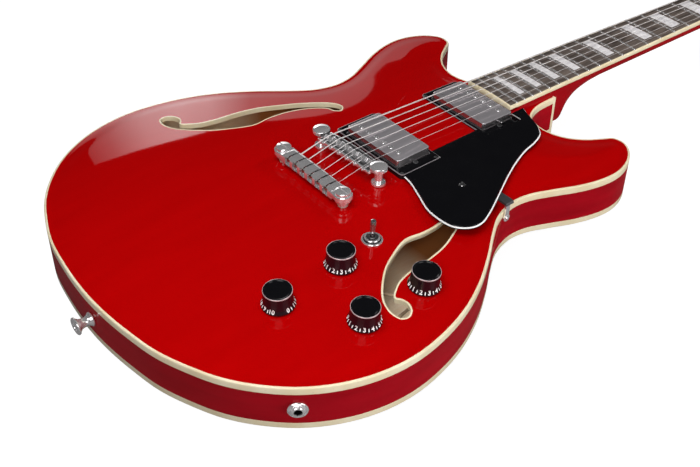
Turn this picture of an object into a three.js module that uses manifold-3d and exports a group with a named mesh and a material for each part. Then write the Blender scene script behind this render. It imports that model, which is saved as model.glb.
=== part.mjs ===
// Semi-hollow electric guitar, in millimetres, lying on its back.
// +X runs from the body to the headstock, +Y is the bass side and +Z points out of the top.
// While it is modelled, x = 0 is the bridge line, y = 0 the centre line and z = 0 the top edge of the sides.
import * as THREE from 'three';
import { mergeVertices } from 'three/addons/utils/BufferGeometryUtils.js';
import Module from 'manifold-3d';

const wasm = await Module();
wasm.setup();
const { Manifold, Mesh: SolidMesh } = wasm;

// Driving dimensions
const scaleLength = 628;          // bridge line to nut
const bodyLength = 484;           // butt to the tips of the horns
const bodyWidth = 408;
const bridgeToJoint = 228;        // bridge line to the end of the body at the neck
const jointBeyondHorns = 7.8;     // how far that end lies past the horns
const buttToBridge = bodyLength + jointBeyondHorns - bridgeToJoint;
const jointWidth = 61.2;          // body width at that end
const rimDepth = 42.5;
const topArch = 9;
const backArch = 9;
const archReach = 150;            // distance from the edge over which the arch rises
const archEase = 16;              // nearly flat margin that eases into the arch
const plateThickness = 4.5;
const rimWall = 7;                // bent side with its lining
const bindingWidth = 2;
const bindingDepth = 6.3;
const jointBindingWidth = 3.6;    // upright strips where the sides meet the heel
const blockWidth = 114;           // centre block

const boardOverBody = 62.3;       // how far the board runs on over the body
const bridgeToBoardEnd = bridgeToJoint - boardOverBody;
const boardHeightAtEnd = 14.3;    // board top above the sides' edge, at the body end of the board
const neckAngle = THREE.MathUtils.degToRad(2.89);
const headAngle = THREE.MathUtils.degToRad(14);
const boardThickness = 5.2;
const boardRadius = 305;
const boardEndWidth = 57.4;       // over the binding, at the body end
const nutWidth = 43;
const nutThickness = 5;
const fretCount = 22;
const fretHeight = 1.1;
const fretWidth = 2.2;
const shaftDepthAtNut = 15.8;     // wood below the board
const shaftDepthAtHeel = 18;
const headLength = 183;
const headWidth = 80;
const headThickness = 14;

const stringSpreadAtBridge = 52;
const stringSpreadAtNut = 35.5;
const stringHeightAtBridge = 27.3;
const stringHeightAtNut = 2;      // above the board
const stringDiameters = [0.28, 0.36, 0.46, 0.7, 0.95, 1.2];   // from the high E

// Clearances
const seat = 0.3;                 // between pieces that rest on each other
const glueLine = 0.15;            // between glued pieces
const runningGap = 0.35;          // round a piece that turns or slides
const overrun = 30;               // how far a cutting tool runs past the work
const weld = 1e-4;

// Finishes
const finish = (color, roughness, metalness = 0) =>
  new THREE.MeshStandardMaterial({ color, roughness, metalness });
const redLacquer = finish(0xb80408, 0.1);
const redSides = finish(0x9a0f1c, 0.12);
const redNeck = finish(0xa80c16, 0.14);
const bareMaple = finish(0xc9a878, 0.7);
const creamBinding = finish(0xf2e3bd, 0.3);
const rosewood = finish(0x3a2a22, 0.55);
const bone = finish(0xe9e2cf, 0.4);
const chrome = finish(0xd8d8da, 0.12, 1);
const nickelSilver = finish(0xc2c0ba, 0.25, 1);
const steelWire = finish(0xc9c8c4, 0.3, 1);
const blackPlastic = finish(0x101012, 0.2);
const knobPlastic = finish(0x161216, 0.15);

// Solids

function welded(geometry) {
  const plain = new THREE.BufferGeometry();
  plain.setAttribute('position', geometry.getAttribute('position').clone());
  if (geometry.index) plain.setIndex([...geometry.index.array]);
  const merged = mergeVertices(plain, weld);
  const corners = merged.index.array;
  const kept = [];
  for (let i = 0; i < corners.length; i += 3) {
    const [a, b, c] = [corners[i], corners[i + 1], corners[i + 2]];
    if (a !== b && b !== c && c !== a) kept.push(a, b, c);
  }
  merged.setIndex(volume(merged, kept) < 0 ? kept.reverse() : kept);
  return merged;
}

function volume(geometry, corners) {
  const [a, b, c] = [new THREE.Vector3(), new THREE.Vector3(), new THREE.Vector3()];
  const position = geometry.getAttribute('position');
  let sum = 0;
  for (let i = 0; i < corners.length; i += 3) {
    a.fromBufferAttribute(position, corners[i]);
    b.fromBufferAttribute(position, corners[i + 1]);
    c.fromBufferAttribute(position, corners[i + 2]);
    sum += a.dot(b.cross(c));
  }
  return sum;
}

function solid(shape) {
  if (!shape.isBufferGeometry) return shape;
  const closed = welded(shape);
  return new Manifold(new SolidMesh({
    numProp: 3,
    vertProperties: new Float32Array(closed.getAttribute('position').array),
    triVerts: new Uint32Array(closed.index.array),
  }));
}

const join = (first, ...others) => others.reduce((all, one) => all.add(solid(one)), solid(first));
const cut = (work, ...tools) => tools.reduce((left, tool) => left.subtract(solid(tool)), solid(work));
const common = (first, second) => solid(first).intersect(solid(second));

function geometryOf(shape) {
  if (shape.isBufferGeometry) return welded(shape);
  const mesh = shape.getMesh();
  const geometry = new THREE.BufferGeometry();
  geometry.setAttribute('position', new THREE.BufferAttribute(new Float32Array(mesh.vertProperties), 3));
  geometry.setIndex([...mesh.triVerts]);
  return geometry;
}

function piece(name, shape, material, parent = guitar) {
  const geometry = geometryOf(shape).toNonIndexed();
  geometry.computeVertexNormals();
  const mesh = new THREE.Mesh(geometry, material);
  mesh.name = name;
  parent.add(mesh);
  return mesh;
}

const slab = ([x0, x1], [y0, y1], [z0, z1]) =>
  new THREE.BoxGeometry(x1 - x0, y1 - y0, z1 - z0).translate((x0 + x1) / 2, (y0 + y1) / 2, (z0 + z1) / 2);

function prism(outline, z0, z1) {
  const shape = new THREE.Shape(outline);
  return new THREE.ExtrudeGeometry(shape, { depth: z1 - z0, bevelEnabled: false }).translate(0, 0, z0);
}

const up = new THREE.Vector3(0, 0, 1);
const aimed = (geometry, direction, origin) => geometry
  .applyQuaternion(new THREE.Quaternion().setFromUnitVectors(up, direction.clone().normalize()))
  .translate(origin.x, origin.y, origin.z);

// A turned piece: its profile is pairs of radius and height, and its axis is Z.
const turned = (profile, sides) =>
  new THREE.LatheGeometry(profile.map(([r, h]) => new THREE.Vector2(r, h)), sides).rotateX(Math.PI / 2);
const rod = (radius, z0, z1, sides) => turned([[0, z0], [radius, z0], [radius, z1], [0, z1]], sides);
const rodAt = (x, y, radius, z0, z1, sides) => rod(radius, z0, z1, sides).translate(x, y, 0);
const rodBetween = (start, end, radius, sides) =>
  aimed(rod(radius, 0, start.distanceTo(end), sides), end.clone().sub(start), start);

// A solid skinned over a row of sections that all have the same number of points.
function loft(sections) {
  const size = sections[0].length;
  const index = [];
  for (let s = 0; s + 1 < sections.length; s += 1) {
    for (let i = 0; i < size; i += 1) {
      const j = (i + 1) % size;
      const [a, b, c, d] = [s * size + i, s * size + j, (s + 1) * size + j, (s + 1) * size + i];
      index.push(a, b, c, a, c, d);
    }
  }
  const last = (sections.length - 1) * size;
  for (let i = 1; i + 1 < size; i += 1) {
    index.push(0, i + 1, i);
    index.push(last, last + i, last + i + 1);
  }
  return new THREE.BufferGeometry().setFromPoints(sections.flat()).setIndex(index);
}

// A ring swept round closed loops, one loop for each corner of its section.
function ringOf(loops) {
  const size = loops[0].length;
  const index = [];
  for (let s = 0; s < loops.length; s += 1) {
    const t = (s + 1) % loops.length;
    for (let i = 0; i < size; i += 1) {
      const j = (i + 1) % size;
      index.push(s * size + i, s * size + j, t * size + j, s * size + i, t * size + j, t * size + i);
    }
  }
  return new THREE.BufferGeometry().setFromPoints(loops.flat()).setIndex(index);
}

function tube(points, radius, sides, steps) {
  const section = new THREE.Shape();
  section.absarc(0, 0, radius, 0, 2 * Math.PI);
  const round = new THREE.Shape(section.getPoints(sides).slice(0, sides));
  const path = new THREE.CatmullRomCurve3(points, false, 'centripetal');
  return new THREE.ExtrudeGeometry(round, { steps, extrudePath: path, bevelEnabled: false });
}

// Body outline

// Treble side from butt to cutaway: shares of the body's length, and of half its width.
const outlineShares = [
  [0.002, 0.118], [0.008, 0.245], [0.019, 0.392], [0.039, 0.525], [0.065, 0.652], [0.101, 0.765],
  [0.148, 0.868], [0.204, 0.944], [0.262, 0.987], [0.322, 1.000], [0.384, 0.982], [0.446, 0.940],
  [0.508, 0.870], [0.570, 0.772], [0.615, 0.689], [0.657, 0.623], [0.702, 0.593], [0.741, 0.602],
  [0.783, 0.642], [0.834, 0.696], [0.882, 0.727], [0.921, 0.730], [0.958, 0.704], [0.985, 0.659],
  [1.000, 0.601], [0.996, 0.542], [0.976, 0.510], [0.950, 0.468], [0.926, 0.402], [0.914, 0.319],
  [0.916, 0.250], [0.927, 0.194], [0.948, 0.165], [0.970, 0.152],
];
const outlineSteps = 70;

function bodyLoop() {
  const treble = outlineShares.map(([along, across]) =>
    new THREE.Vector3(along * bodyLength - buttToBridge, -across * bodyWidth / 2, 0));
  treble.push(new THREE.Vector3(bridgeToJoint, -jointWidth / 2, 0));
  const bass = treble.map(({ x, y }) => new THREE.Vector3(x, -y, 0)).reverse();
  const butt = new THREE.Vector3(-buttToBridge, 0, 0);
  const curve = new THREE.CatmullRomCurve3([...bass, butt, ...treble], false, 'centripetal');
  return curve.getPoints(outlineSteps).map(({ x, y }) => new THREE.Vector2(x, y));
}

function inset(loop, distance) {
  return loop.map((point, i) => {
    const before = loop.at(i - 1);
    const after = loop[(i + 1) % loop.length];
    const inward = [[before, point], [point, after]].map(([from, to]) =>
      new THREE.Vector2(from.y - to.y, to.x - from.x).normalize());
    const miter = inward[0].clone().add(inward[1]).divideScalar(1 + inward[0].dot(inward[1]));
    return point.clone().addScaledVector(miter, distance);
  });
}

const outline = bodyLoop();
const plateLoop = inset(outline, bindingWidth + seat);

function edgeDistance(x, y) {
  let least = Infinity;
  outline.forEach((start, i) => {
    const end = outline[(i + 1) % outline.length];
    const [ex, ey] = [end.x - start.x, end.y - start.y];
    const along = THREE.MathUtils.clamp(((x - start.x) * ex + (y - start.y) * ey) / (ex * ex + ey * ey), 0, 1);
    least = Math.min(least, Math.hypot(x - start.x - along * ex, y - start.y - along * ey));
  });
  return least;
}

// The share of its full height that the arch has reached at a place.
function archShare(x, y) {
  const distance = edgeDistance(x, y);
  const run = Math.min(distance / archReach, 1);
  return (1 - (1 - run) ** 2) * THREE.MathUtils.smoothstep(distance, 0, archEase);
}

const topAt = (x, y) => topArch * archShare(x, y);
const backAt = (x, y) => -rimDepth - backArch * archShare(x, y);
const lowered = (surface, by) => (x, y) => surface(x, y) - by;

const fineRingShares = [1, 0.95, 0.8, 0.5];
const coarseRingShares = [1, 0.92, 0.6];

// A plate between two arched surfaces, built of copies of its edge that shrink towards its middle.
function archedSolid(upper, upperShares, lower, lowerShares) {
  const points = [];
  const index = [];
  const size = plateLoop.length;
  const surface = (heightAt, ringShares, facing) => {
    const first = points.length;
    for (const share of ringShares) {
      for (const point of plateLoop) {
        const [x, y] = [point.x * share, point.y * share];
        points.push(new THREE.Vector3(x, y, heightAt(x, y)));
      }
    }
    const middle = points.length;
    points.push(new THREE.Vector3(0, 0, heightAt(0, 0)));
    for (let r = 0; r < ringShares.length; r += 1) {
      for (let i = 0; i < size; i += 1) {
        const [a, b, c] = [0, 1, 2].map((ahead) => first + r * size + (i + ahead) % size);
        const paired = i + 1 < size ? [[a, b, c], [a, c, middle]] : [[a, b, middle]];
        const towardsMiddle = i % 2 === 0 ? paired : [];
        const innermost = r + 1 === ringShares.length;
        const facets = innermost ? towardsMiddle : [[a, b, b + size], [a, b + size, a + size]];
        for (const [p, q, s] of facets) index.push(...(facing > 0 ? [p, q, s] : [p, s, q]));
      }
    }
    return first;
  };
  const top = surface(upper, upperShares, 1);
  const bottom = surface(lower, lowerShares, -1);
  for (let i = 0; i < size; i += 1) {
    const j = (i + 1) % size;
    index.push(bottom + i, bottom + j, top + j, bottom + i, top + j, top + i);
  }
  return new THREE.BufferGeometry().setFromPoints(points).setIndex(index);
}

const farAbove = () => bodyWidth / 2;
const farBelow = () => -bodyWidth / 2;
const spaceUnderTop = (gap) => archedSolid(lowered(topAt, -gap), fineRingShares, farBelow, coarseRingShares);
const spaceOverTopInside = (gap) =>
  archedSolid(farAbove, coarseRingShares, lowered(topAt, plateThickness + gap), coarseRingShares);
const spaceUnderBackInside = (gap) =>
  archedSolid(lowered(backAt, -plateThickness - gap), coarseRingShares, farBelow, coarseRingShares);

// Where a control or fastener stands on the arched top, and which way it points.
function seatOnTop(x, y) {
  const step = archEase;
  const slopeX = (topAt(x + step, y) - topAt(x - step, y)) / (2 * step);
  const slopeY = (topAt(x, y + step) - topAt(x, y - step)) / (2 * step);
  const frame = new THREE.Group();
  frame.position.set(x, y, topAt(x, y));
  frame.quaternion.setFromUnitVectors(up, new THREE.Vector3(-slopeX, -slopeY, 1).normalize());
  guitar.add(frame);
  frame.updateMatrix();
  return frame;
}

// Frames

const guitar = new THREE.Group();
const neckFrame = new THREE.Group();        // x along the board from its body end, z = 0 its top
neckFrame.position.set(bridgeToBoardEnd, 0, boardHeightAtEnd);
neckFrame.rotation.y = neckAngle;
guitar.add(neckFrame);
const boardLength = scaleLength - bridgeToBoardEnd;
const headFrame = new THREE.Group();        // x along the head from the back of the nut, z = 0 its face
headFrame.position.set(boardLength + nutThickness, 0, -boardThickness);
headFrame.rotation.y = headAngle;
neckFrame.add(headFrame);
guitar.updateMatrixWorld(true);
const fromNeck = (x, y, z) => new THREE.Vector3(x, y, z).applyMatrix4(neckFrame.matrixWorld);
const fromHead = (x, y, z) => new THREE.Vector3(x, y, z).applyMatrix4(headFrame.matrixWorld);
const inFrame = (geometry, frame) => geometry.applyMatrix4(frame.matrixWorld.clone().invert());

// Strings, by number from the high E: how far each lies from the centre line, as a share of the spread

const stringShares = [-0.5, -0.3, -0.1, 0.1, 0.3, 0.5];
const crownDrop = (y) => y * y / (2 * boardRadius);

// Tenon and cavities

const tenon = { width: 38, depth: 31, length: 52 };
const tenonStart = bridgeToJoint - tenon.length;
const pickup = {
  length: 69.5, width: 38, depth: 20, round: 3, cavity: 15,
  poleRadius: 2.4, poleRise: 0.5, poleOffset: 9.5, poleSpread: 50, poleSides: 6,
  legLength: 79, legWidth: 12, legThickness: 1.6, legDepth: 13, screwSpread: 75, screwRadius: 1.3,
};
const ring = {
  length: 91, width: 46, round: 4, depth: 20, opening: 0.5, lip: 2.5,
  screwSides: 8, screwHead: 2.4, headRise: 0.6, screwReach: 16,
};
const bridgePickup = { toBridge: 38.7, ringRise: 3.6, coverRise: 7.4 };
const neckPickup = { toBoard: 22.9, ringRise: 1.1, coverRise: 6.8 };
const pickupPlaces = [
  { name: 'bridge', x: bridgePickup.toBridge, tilt: neckAngle / 3, poleSide: -1, ...bridgePickup },
  { name: 'neck', x: bridgeToBoardEnd - neckPickup.toBoard, tilt: neckAngle, poleSide: 1, ...neckPickup },
];
const cavityGap = 1.5;

function pickupCavity({ x }) {
  const [halfX, halfY] = [pickup.width / 2 + cavityGap, pickup.legLength / 2 + cavityGap];
  return slab([x - halfX, x + halfX], [-halfY, halfY], [-pickup.cavity, overrun]);
}

function tenonPocket() {
  const half = tenon.width / 2 + seat;
  return slab([tenonStart - seat, bridgeToJoint + overrun], [-half, half], [-tenon.depth - seat, overrun]);
}

// Bridge and tailpiece places, shared by the holes below them

const bridge = {
  postSpread: 74, slant: 3.5, trebleToLine: 3.7, wallThickness: 1.5, troughWidth: 13, length: 66,
  bottom: 20.2, wallTop: 24.4, floor: 1, stations: 5, earRadius: 7.7, earThickness: 3.8, earTop: 27.6,
  earDome: 1.3, earSides: 12, hubRadius: 4.2, hubSides: 8,
  screwRadius: 0.8, screwHeight: 0.95, screwHead: 1.6, headLength: 1.6, screwSides: 6,
  postPin: 2.2, postPinLength: 5, postRadius: 3.4, wheelRadius: 6.3, wheelHeight: 2.8, wheelLift: 0.5,
  threadRadius: 3, threadReach: 26, postSides: 12,
};
const bridgeMiddle = -(bridge.trebleToLine + bridge.slant / 2);
const bridgePostPlaces = [
  { name: 'treble', x: -bridge.trebleToLine, y: -bridge.postSpread / 2 },
  { name: 'bass', x: -bridge.trebleToLine - bridge.slant, y: bridge.postSpread / 2 },
];
const tailpiece = {
  toBridge: 46, studSpread: 82, length: 68, width: 15, height: 10.5, top: 23.4, round: 2.5, crownRadius: 900,
  stations: 5, pocketWidth: 6.4, pocketDepth: 6.5, pocketHeight: 6.5, holeRadius: 1.5, slotWidth: 1.5,
  stringDrop: 3,
  earRadius: 8.2, earThickness: 4.6, earSides: 12,
  travel: 3,                      // the studs can lower the bar this far
};
const stud = {
  headRadius: 6.8, headHeight: 2.6, neckRadius: 3.4, flangeRadius: 6.8, flangeHeight: 2.6, slotWidth: 1.8,
  slotDepth: 1.2, stemRadius: 4, stemReach: 24, sides: 12,
};
const studPlaces = [
  { name: 'treble', x: -tailpiece.toBridge, y: -tailpiece.studSpread / 2 },
  { name: 'bass', x: -tailpiece.toBridge, y: tailpiece.studSpread / 2 },
];
const postHole = ({ x, y }, radius, reach) => rodAt(x, y, radius + runningGap, topAt(x, y) - reach - seat,
  topAt(x, y) + overrun, bridge.postSides);

// Controls: volume and tone knobs and the mini toggle stand on the treble side of the top

const knob = {
  height: 15.5, topRadius: 11.4, waistRadius: 11.9, skirtRadius: 13.6, skirtHeight: 3.2, skirtEdge: 1,
  cavityRadius: 8.5, cavityHeight: 4, boreDepth: 12, sides: 14, lift: 0.9,
};
const pot = {
  bodyRadius: 12, bodyHeight: 9, bushingRadius: 4.6, shaftRadius: 3, shaftRise: 11,
  nutRadius: 6.2, nutHeight: 2, lift: 0.6, sides: 8, gap: 1.8,
};
// Places on the top: shares of the body's length from the butt, and of half its width towards the treble side.
const knobShares = {
  neck_tone: [0.2176, 0.504], neck_volume: [0.3496, 0.4804], bridge_volume: [0.4287, 0.753],
  bridge_tone: [0.301, 0.7627],
};
const toggleShares = [0.4304, 0.4412];
const jackShare = 0.141;
const placeOnTop = ([along, across]) => [along * bodyLength - buttToBridge, -across * bodyWidth / 2];
const toggle = {
  bodyWidth: 12, bodyLength: 13, bodyHeight: 10, bushingRadius: 3.4, bushingRise: 4.2,
  nutRadius: 8.9, nutTopRadius: 6.6, nutHeight: 3.2, nutEdge: 1, leverRadius: 1.1, tipRadius: 2.6, tipLength: 5,
  leverLength: 21, boreRadius: 1.9, boreDepth: 3, sides: 10,
};
const jack = { barrelRadius: 4.7, boreRadius: 3.3, nutRadius: 8.2, nutHeight: 2.6,
  reach: 26, bodyRadius: 7.5, bodyStart: 9, sides: 10,
};
const wire = { radius: 1.3, sides: 4, steps: 5, sag: 3 };

// The stretch of the treble side's edge that passes a place along the body.
function trebleEdge(x) {
  const i = outline.findIndex((point, j) => point.y < 0 && point.x <= x && outline[j + 1].x > x);
  return [outline[i], outline[i + 1]];
}

function jackFrame() {
  const x = jackShare * bodyLength - buttToBridge;
  const [start, end] = trebleEdge(x);
  const at = start.clone().lerp(end, (x - start.x) / (end.x - start.x));
  const outward = new THREE.Vector3(end.y - start.y, start.x - end.x, 0).normalize();
  const frame = new THREE.Group();
  frame.position.set(at.x, at.y, -rimDepth / 2);
  frame.quaternion.setFromUnitVectors(up, outward);
  frame.updateMatrix();
  return frame;
}

const strap = {
  baseRadius: 6, waistRadius: 4, headRadius: 7.5, length: 15, baseHeight: 2, headHeight: 3, screwRadius: 2.1,
  screwReach: 24, sides: 12, heelOffset: 8.5,
};

// Body

const fHole = { length: 145, width: 94, steps: 26, middleShares: [0.5027, 0.5956] };
// Round the hole from the nib of its tail end: shares of its length and width, counted from its middle.
const fHoleShares = [
  [-0.431, 0.315], [-0.392, 0.257], [-0.333, 0.204], [-0.231, 0.163], [-0.086, 0.140], [0.059, 0.090],
  [0.193, 0.000], [0.321, -0.105], [0.438, -0.239], [0.497, -0.351], [0.500, -0.441], [0.459, -0.500],
  [0.421, -0.457], [0.403, -0.367], [0.307, -0.250], [0.169, -0.178], [0.038, -0.163], [-0.086, -0.180],
  [-0.236, -0.086], [-0.347, 0.017], [-0.470, 0.201], [-0.514, 0.309], [-0.530, 0.428], [-0.512, 0.520],
  [-0.468, 0.545], [-0.422, 0.503], [-0.400, 0.420], [-0.413, 0.350],
];

function fHoleCutter(side) {
  const [middleX, trebleY] = placeOnTop(fHole.middleShares);
  const points = fHoleShares.map(([along, across]) =>
    new THREE.Vector3(middleX + along * fHole.length, side * (across * fHole.width - trebleY), 0));
  const curve = new THREE.CatmullRomCurve3(points, true, 'centripetal');
  const loop = curve.getPoints(fHole.steps).slice(0, fHole.steps);
  return prism(loop.map(({ x, y }) => new THREE.Vector2(x, y)), -overrun, overrun);
}

function topHole(frame, radius) {
  const hole = rod(radius + seat, -overrun, overrun, pot.sides);
  return hole.applyMatrix4(frame.matrix);
}

const knobFrames = Object.values(knobShares).map((shares) => seatOnTop(...placeOnTop(shares)));
const toggleFrame = seatOnTop(...placeOnTop(toggleShares));

function topPlate() {
  const plate = archedSolid(topAt, fineRingShares, lowered(topAt, plateThickness), coarseRingShares);
  return cut(plate, fHoleCutter(1), fHoleCutter(-1), tenonPocket(), ...pickupPlaces.map(pickupCavity),
    ...bridgePostPlaces.map((place) => postHole(place, bridge.threadRadius, bridge.threadReach)),
    ...studPlaces.map((place) => postHole(place, stud.stemRadius, stud.stemReach + tailpiece.travel)),
    ...knobFrames.map((frame) => topHole(frame, pot.bushingRadius)),
    topHole(toggleFrame, toggle.bushingRadius));
}

function backPlate() {
  return archedSolid(lowered(backAt, -plateThickness), coarseRingShares, backAt, fineRingShares);
}

const loopAt = (distance, z) => inset(outline, distance).map(({ x, y }) => new THREE.Vector3(x, y, z));

function rim() {
  const rebate = bindingWidth + seat;
  const [shoulder, ledge] = [bindingDepth + seat, plateThickness + seat];
  const ring = ringOf([
    loopAt(0, -shoulder), loopAt(rebate, -shoulder), loopAt(rebate, -ledge), loopAt(rimWall, -ledge),
    loopAt(rimWall, ledge - rimDepth), loopAt(rebate, ledge - rimDepth),
    loopAt(rebate, shoulder - rimDepth), loopAt(0, shoulder - rimDepth),
  ]);
  const frame = jackFrame();
  const jackHole = rod(jack.barrelRadius + seat, -overrun, overrun, jack.sides).applyMatrix4(frame.matrix);
  return cut(ring, tenonPocket(), jackHole, buttScrewHole(), ...jointStrips(seat));
}

function jointStrips(gap) {
  const [outer, inner] = [jointWidth / 2 + gap, jointWidth / 2 - bindingWidth - gap];
  return [[inner, outer], [-outer, -inner]].map((across) =>
    slab([bridgeToJoint - jointBindingWidth - gap, bridgeToJoint + gap], across,
      [bindingWidth - rimDepth, -bindingWidth]));
}

function bodyBinding() {
  const band = (high, low) =>
    ringOf([loopAt(0, high), loopAt(bindingWidth, high), loopAt(bindingWidth, low), loopAt(0, low)]);
  const topBand = cut(band(0, -bindingDepth), tenonPocket());
  return join(topBand, band(bindingDepth - rimDepth, -rimDepth), ...jointStrips(0));
}

function buttScrewHole() {
  const z = -rimDepth / 2;
  return rodBetween(new THREE.Vector3(-buttToBridge - overrun, 0, z),
    new THREE.Vector3(-buttToBridge + strap.screwReach + seat, 0, z), strap.screwRadius + seat, strap.sides);
}

function centreBlock() {
  const inner = loopAt(rimWall + seat, 0).map(({ x, y }) => new THREE.Vector2(x, y));
  const filled = prism(inner, -rimDepth - backArch, topArch);
  const half = blockWidth / 2;
  const strip = slab([-buttToBridge, bridgeToJoint], [-half, half], [-rimDepth - overrun, overrun]);
  return cut(common(filled, strip), spaceOverTopInside(seat), spaceUnderBackInside(seat), tenonPocket(),
    buttScrewHole(), ...pickupPlaces.map(pickupCavity),
    ...bridgePostPlaces.map((place) => postHole(place, bridge.threadRadius, bridge.threadReach)),
    ...studPlaces.map((place) => postHole(place, stud.stemRadius, stud.stemReach + tailpiece.travel)));
}

piece('top_plate', topPlate(), redLacquer);
piece('back_plate', backPlate(), redLacquer);
piece('rim', rim(), redSides);
piece('centre_block', centreBlock(), bareMaple);
piece('body_binding', bodyBinding(), creamBinding);

// Neck

const boardHalfWidth = (x) => THREE.MathUtils.lerp(boardEndWidth, nutWidth, x / boardLength) / 2;
const heelLength = 75;
const heelDepth = 51.5;            // below the board's top, at the heel cap
const heelFullness = 2.6;          // added to the roundness exponent, so the heel's sides stand upright
const shaftRoundness = 2.2;
const sectionSteps = 10;
// How far along the heel, and how much of its extra depth is left there.
const heelShares = [[0, 1], [0.2, 1], [0.245, 0.86], [0.29, 0.66], [0.37, 0.43], [0.5, 0.22], [0.74, 0.06], [1, 0]];

// A section of the neck: upright is 1 where it stands square to the body and 0 where it is square to the neck.
function neckSection(x, depth, fullness, upright) {
  const half = Math.min(boardHalfWidth(x), jointWidth / 2);
  const power = 2 / (shaftRoundness + fullness);
  return Array.from({ length: sectionSteps + 1 }, (_, i) => {
    const angle = Math.PI * i / sectionSteps;
    const [across, down] = [Math.cos(angle), Math.sin(angle)];
    const z = -boardThickness - depth * Math.abs(down) ** power;
    return new THREE.Vector3(x - z * Math.tan(neckAngle) * upright,
      Math.sign(across) * half * Math.abs(across) ** power, z);
  });
}

const heelStart = (bridgeToJoint + seat - bridgeToBoardEnd) / Math.cos(neckAngle);
const heelButton = () => fromNeck(heelStart + strap.heelOffset, 0, -heelDepth);
const heelwards = fromNeck(0, 0, -1).sub(fromNeck(0, 0, 0));

function neckShaft() {
  const end = boardLength + nutThickness;
  const depthAt = (x) => THREE.MathUtils.mapLinear(x, heelStart + heelLength, end, shaftDepthAtHeel, shaftDepthAtNut);
  const heel = heelShares.map(([along, left]) => {
    const x = heelStart + along * heelLength;
    const depth = THREE.MathUtils.lerp(shaftDepthAtHeel, heelDepth - boardThickness, left);
    return neckSection(x, depth, heelFullness * left, left);
  });
  return loft([...heel, neckSection(end, depthAt(end), 0, 0)]);
}

// Right half of the head: shares of its length and of half its width.
const headShares = [
  [0, 0.54], [0.06, 0.6], [0.13, 0.74], [0.2, 0.86], [0.3, 0.9], [0.6, 0.95], [0.84, 1], [0.93, 0.97],
  [0.97, 0.84], [0.98, 0.6], [0.99, 0.3], [1, 0],
];
const truss = {
  radius: 2.4, nutRadius: 3.6, nutLength: 12, channelDepth: 8, start: 80, pocketLength: 24, pocketWidth: 9,
  pocketDepth: 7, sides: 6,
};

function headstock() {
  const right = headShares.map(([along, across]) => new THREE.Vector2(along * headLength, across * headWidth / 2));
  const left = right.slice(0, -1).map(({ x, y }) => new THREE.Vector2(x, -y));
  return prism([...left, ...right.reverse()], -headThickness, 0);
}

const tuner = {
  alongShares: [0.24, 0.46, 0.68], toEdge: 13, postRadius: 3, postRise: 19, waistRadius: 2.5, waistStart: 7,
  waistEnd: 14, barrelRadius: 5, nutRadius: 7.4, nutHeight: 2.6, nutSides: 6, sides: 8, casingWidth: 15,
  casingInner: 8, casingOuter: 11, casingHeight: 9.5, postSink: 6, shaftRadius: 2.1, shaftInner: 5.5,
  shaftHeight: 4.6, keyGap: 6, keyLength: 17, keyWidth: 14, keyThickness: 7, keySides: 8,
};
// Strings 1 to 3 go to the treble side and 6 to 4 to the bass side, both counted from the nut.
function tunerPlace(number) {
  const side = number <= tuner.alongShares.length ? -1 : 1;
  const along = tuner.alongShares[Math.min(number - 1, stringDiameters.length - number)];
  return { side, x: along * headLength, y: side * (headHalfWidth(along) - tuner.toEdge) };
}

function headHalfWidth(along) {
  const next = headShares.findIndex(([share]) => share > along);
  const [[a, widthA], [b, widthB]] = [headShares[next - 1], headShares[next]];
  return THREE.MathUtils.mapLinear(along, a, b, widthA, widthB) * headWidth / 2;
}

const tunerNumbers = [1, 2, 3, 4, 5, 6];

function neck() {
  const pocketStart = -truss.pocketLength / 4;
  const head = cut(headstock(),
    ...tunerNumbers.map(tunerPlace).map(({ x, y }) =>
      rodAt(x, y, tuner.barrelRadius + seat, -headThickness - overrun, overrun, tuner.sides)));
  const tenonBlock = slab([tenonStart, bridgeToJoint + heelLength / 6], [-tenon.width / 2, tenon.width / 2],
    [-tenon.depth, boardHeightAtEnd]);
  const shoulderBottom = boardHeightAtEnd;
  const shoulders = loft([bridgeToBoardEnd + seat, bridgeToJoint + heelLength / 6].map((x) => {
    const half = boardHalfWidth(x - bridgeToBoardEnd) - glueLine;
    return [[-half, seat], [half, seat], [half, shoulderBottom], [-half, shoulderBottom]].map(([y, z]) =>
      new THREE.Vector3(x, y, z));
  }));
  const overBody = cut(shoulders, spaceUnderTop(seat));
  const intoNeckFrame = (shape) => inFrame(geometryOf(shape), neckFrame);
  const aboveWood = slab([-overrun, boardLength + nutThickness], [-headWidth, headWidth],
    [-boardThickness, headWidth]);
  const channel = slab([truss.start, boardLength + headLength], [-truss.radius - seat, truss.radius + seat],
    [-boardThickness - truss.channelDepth, -boardThickness + overrun]);
  const pocket = slab([pocketStart, truss.pocketLength], [-truss.pocketWidth / 2, truss.pocketWidth / 2],
    [-truss.pocketDepth, overrun]);
  const root = join(neckShaft(), intoNeckFrame(overBody), intoNeckFrame(tenonBlock));
  const whole = join(cut(root, aboveWood), head.transform(headFrame.matrix.elements));
  const limit = slab([truss.start, boardLength + nutThickness + truss.pocketLength],
    [-truss.radius - seat, truss.radius + seat], [-boardThickness - truss.channelDepth, 0]);
  const screwHole = rodBetween(heelButton().addScaledVector(heelwards, -strap.screwReach - seat),
    heelButton().addScaledVector(heelwards, overrun), strap.screwRadius + seat, strap.sides);
  return cut(whole, common(channel, limit), pocket.applyMatrix4(headFrame.matrix),
    inFrame(screwHole, neckFrame));
}

function trussRod() {
  const z = -boardThickness - truss.channelDepth + truss.radius + seat;
  const nutStart = boardLength + nutThickness + seat;
  const bar = rodBetween(new THREE.Vector3(truss.start + seat, 0, z), new THREE.Vector3(nutStart, 0, z),
    truss.radius, truss.sides);
  const hexNut = rodBetween(new THREE.Vector3(nutStart - truss.nutLength / 4, 0, z),
    new THREE.Vector3(nutStart + truss.nutLength, 0, z), truss.radius, truss.sides);
  return join(bar, hexNut);
}

piece('neck', neck(), redNeck, neckFrame);
piece('truss_rod', trussRod(), steelWire, neckFrame);

// Fretboard, its binding and the nut

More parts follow.
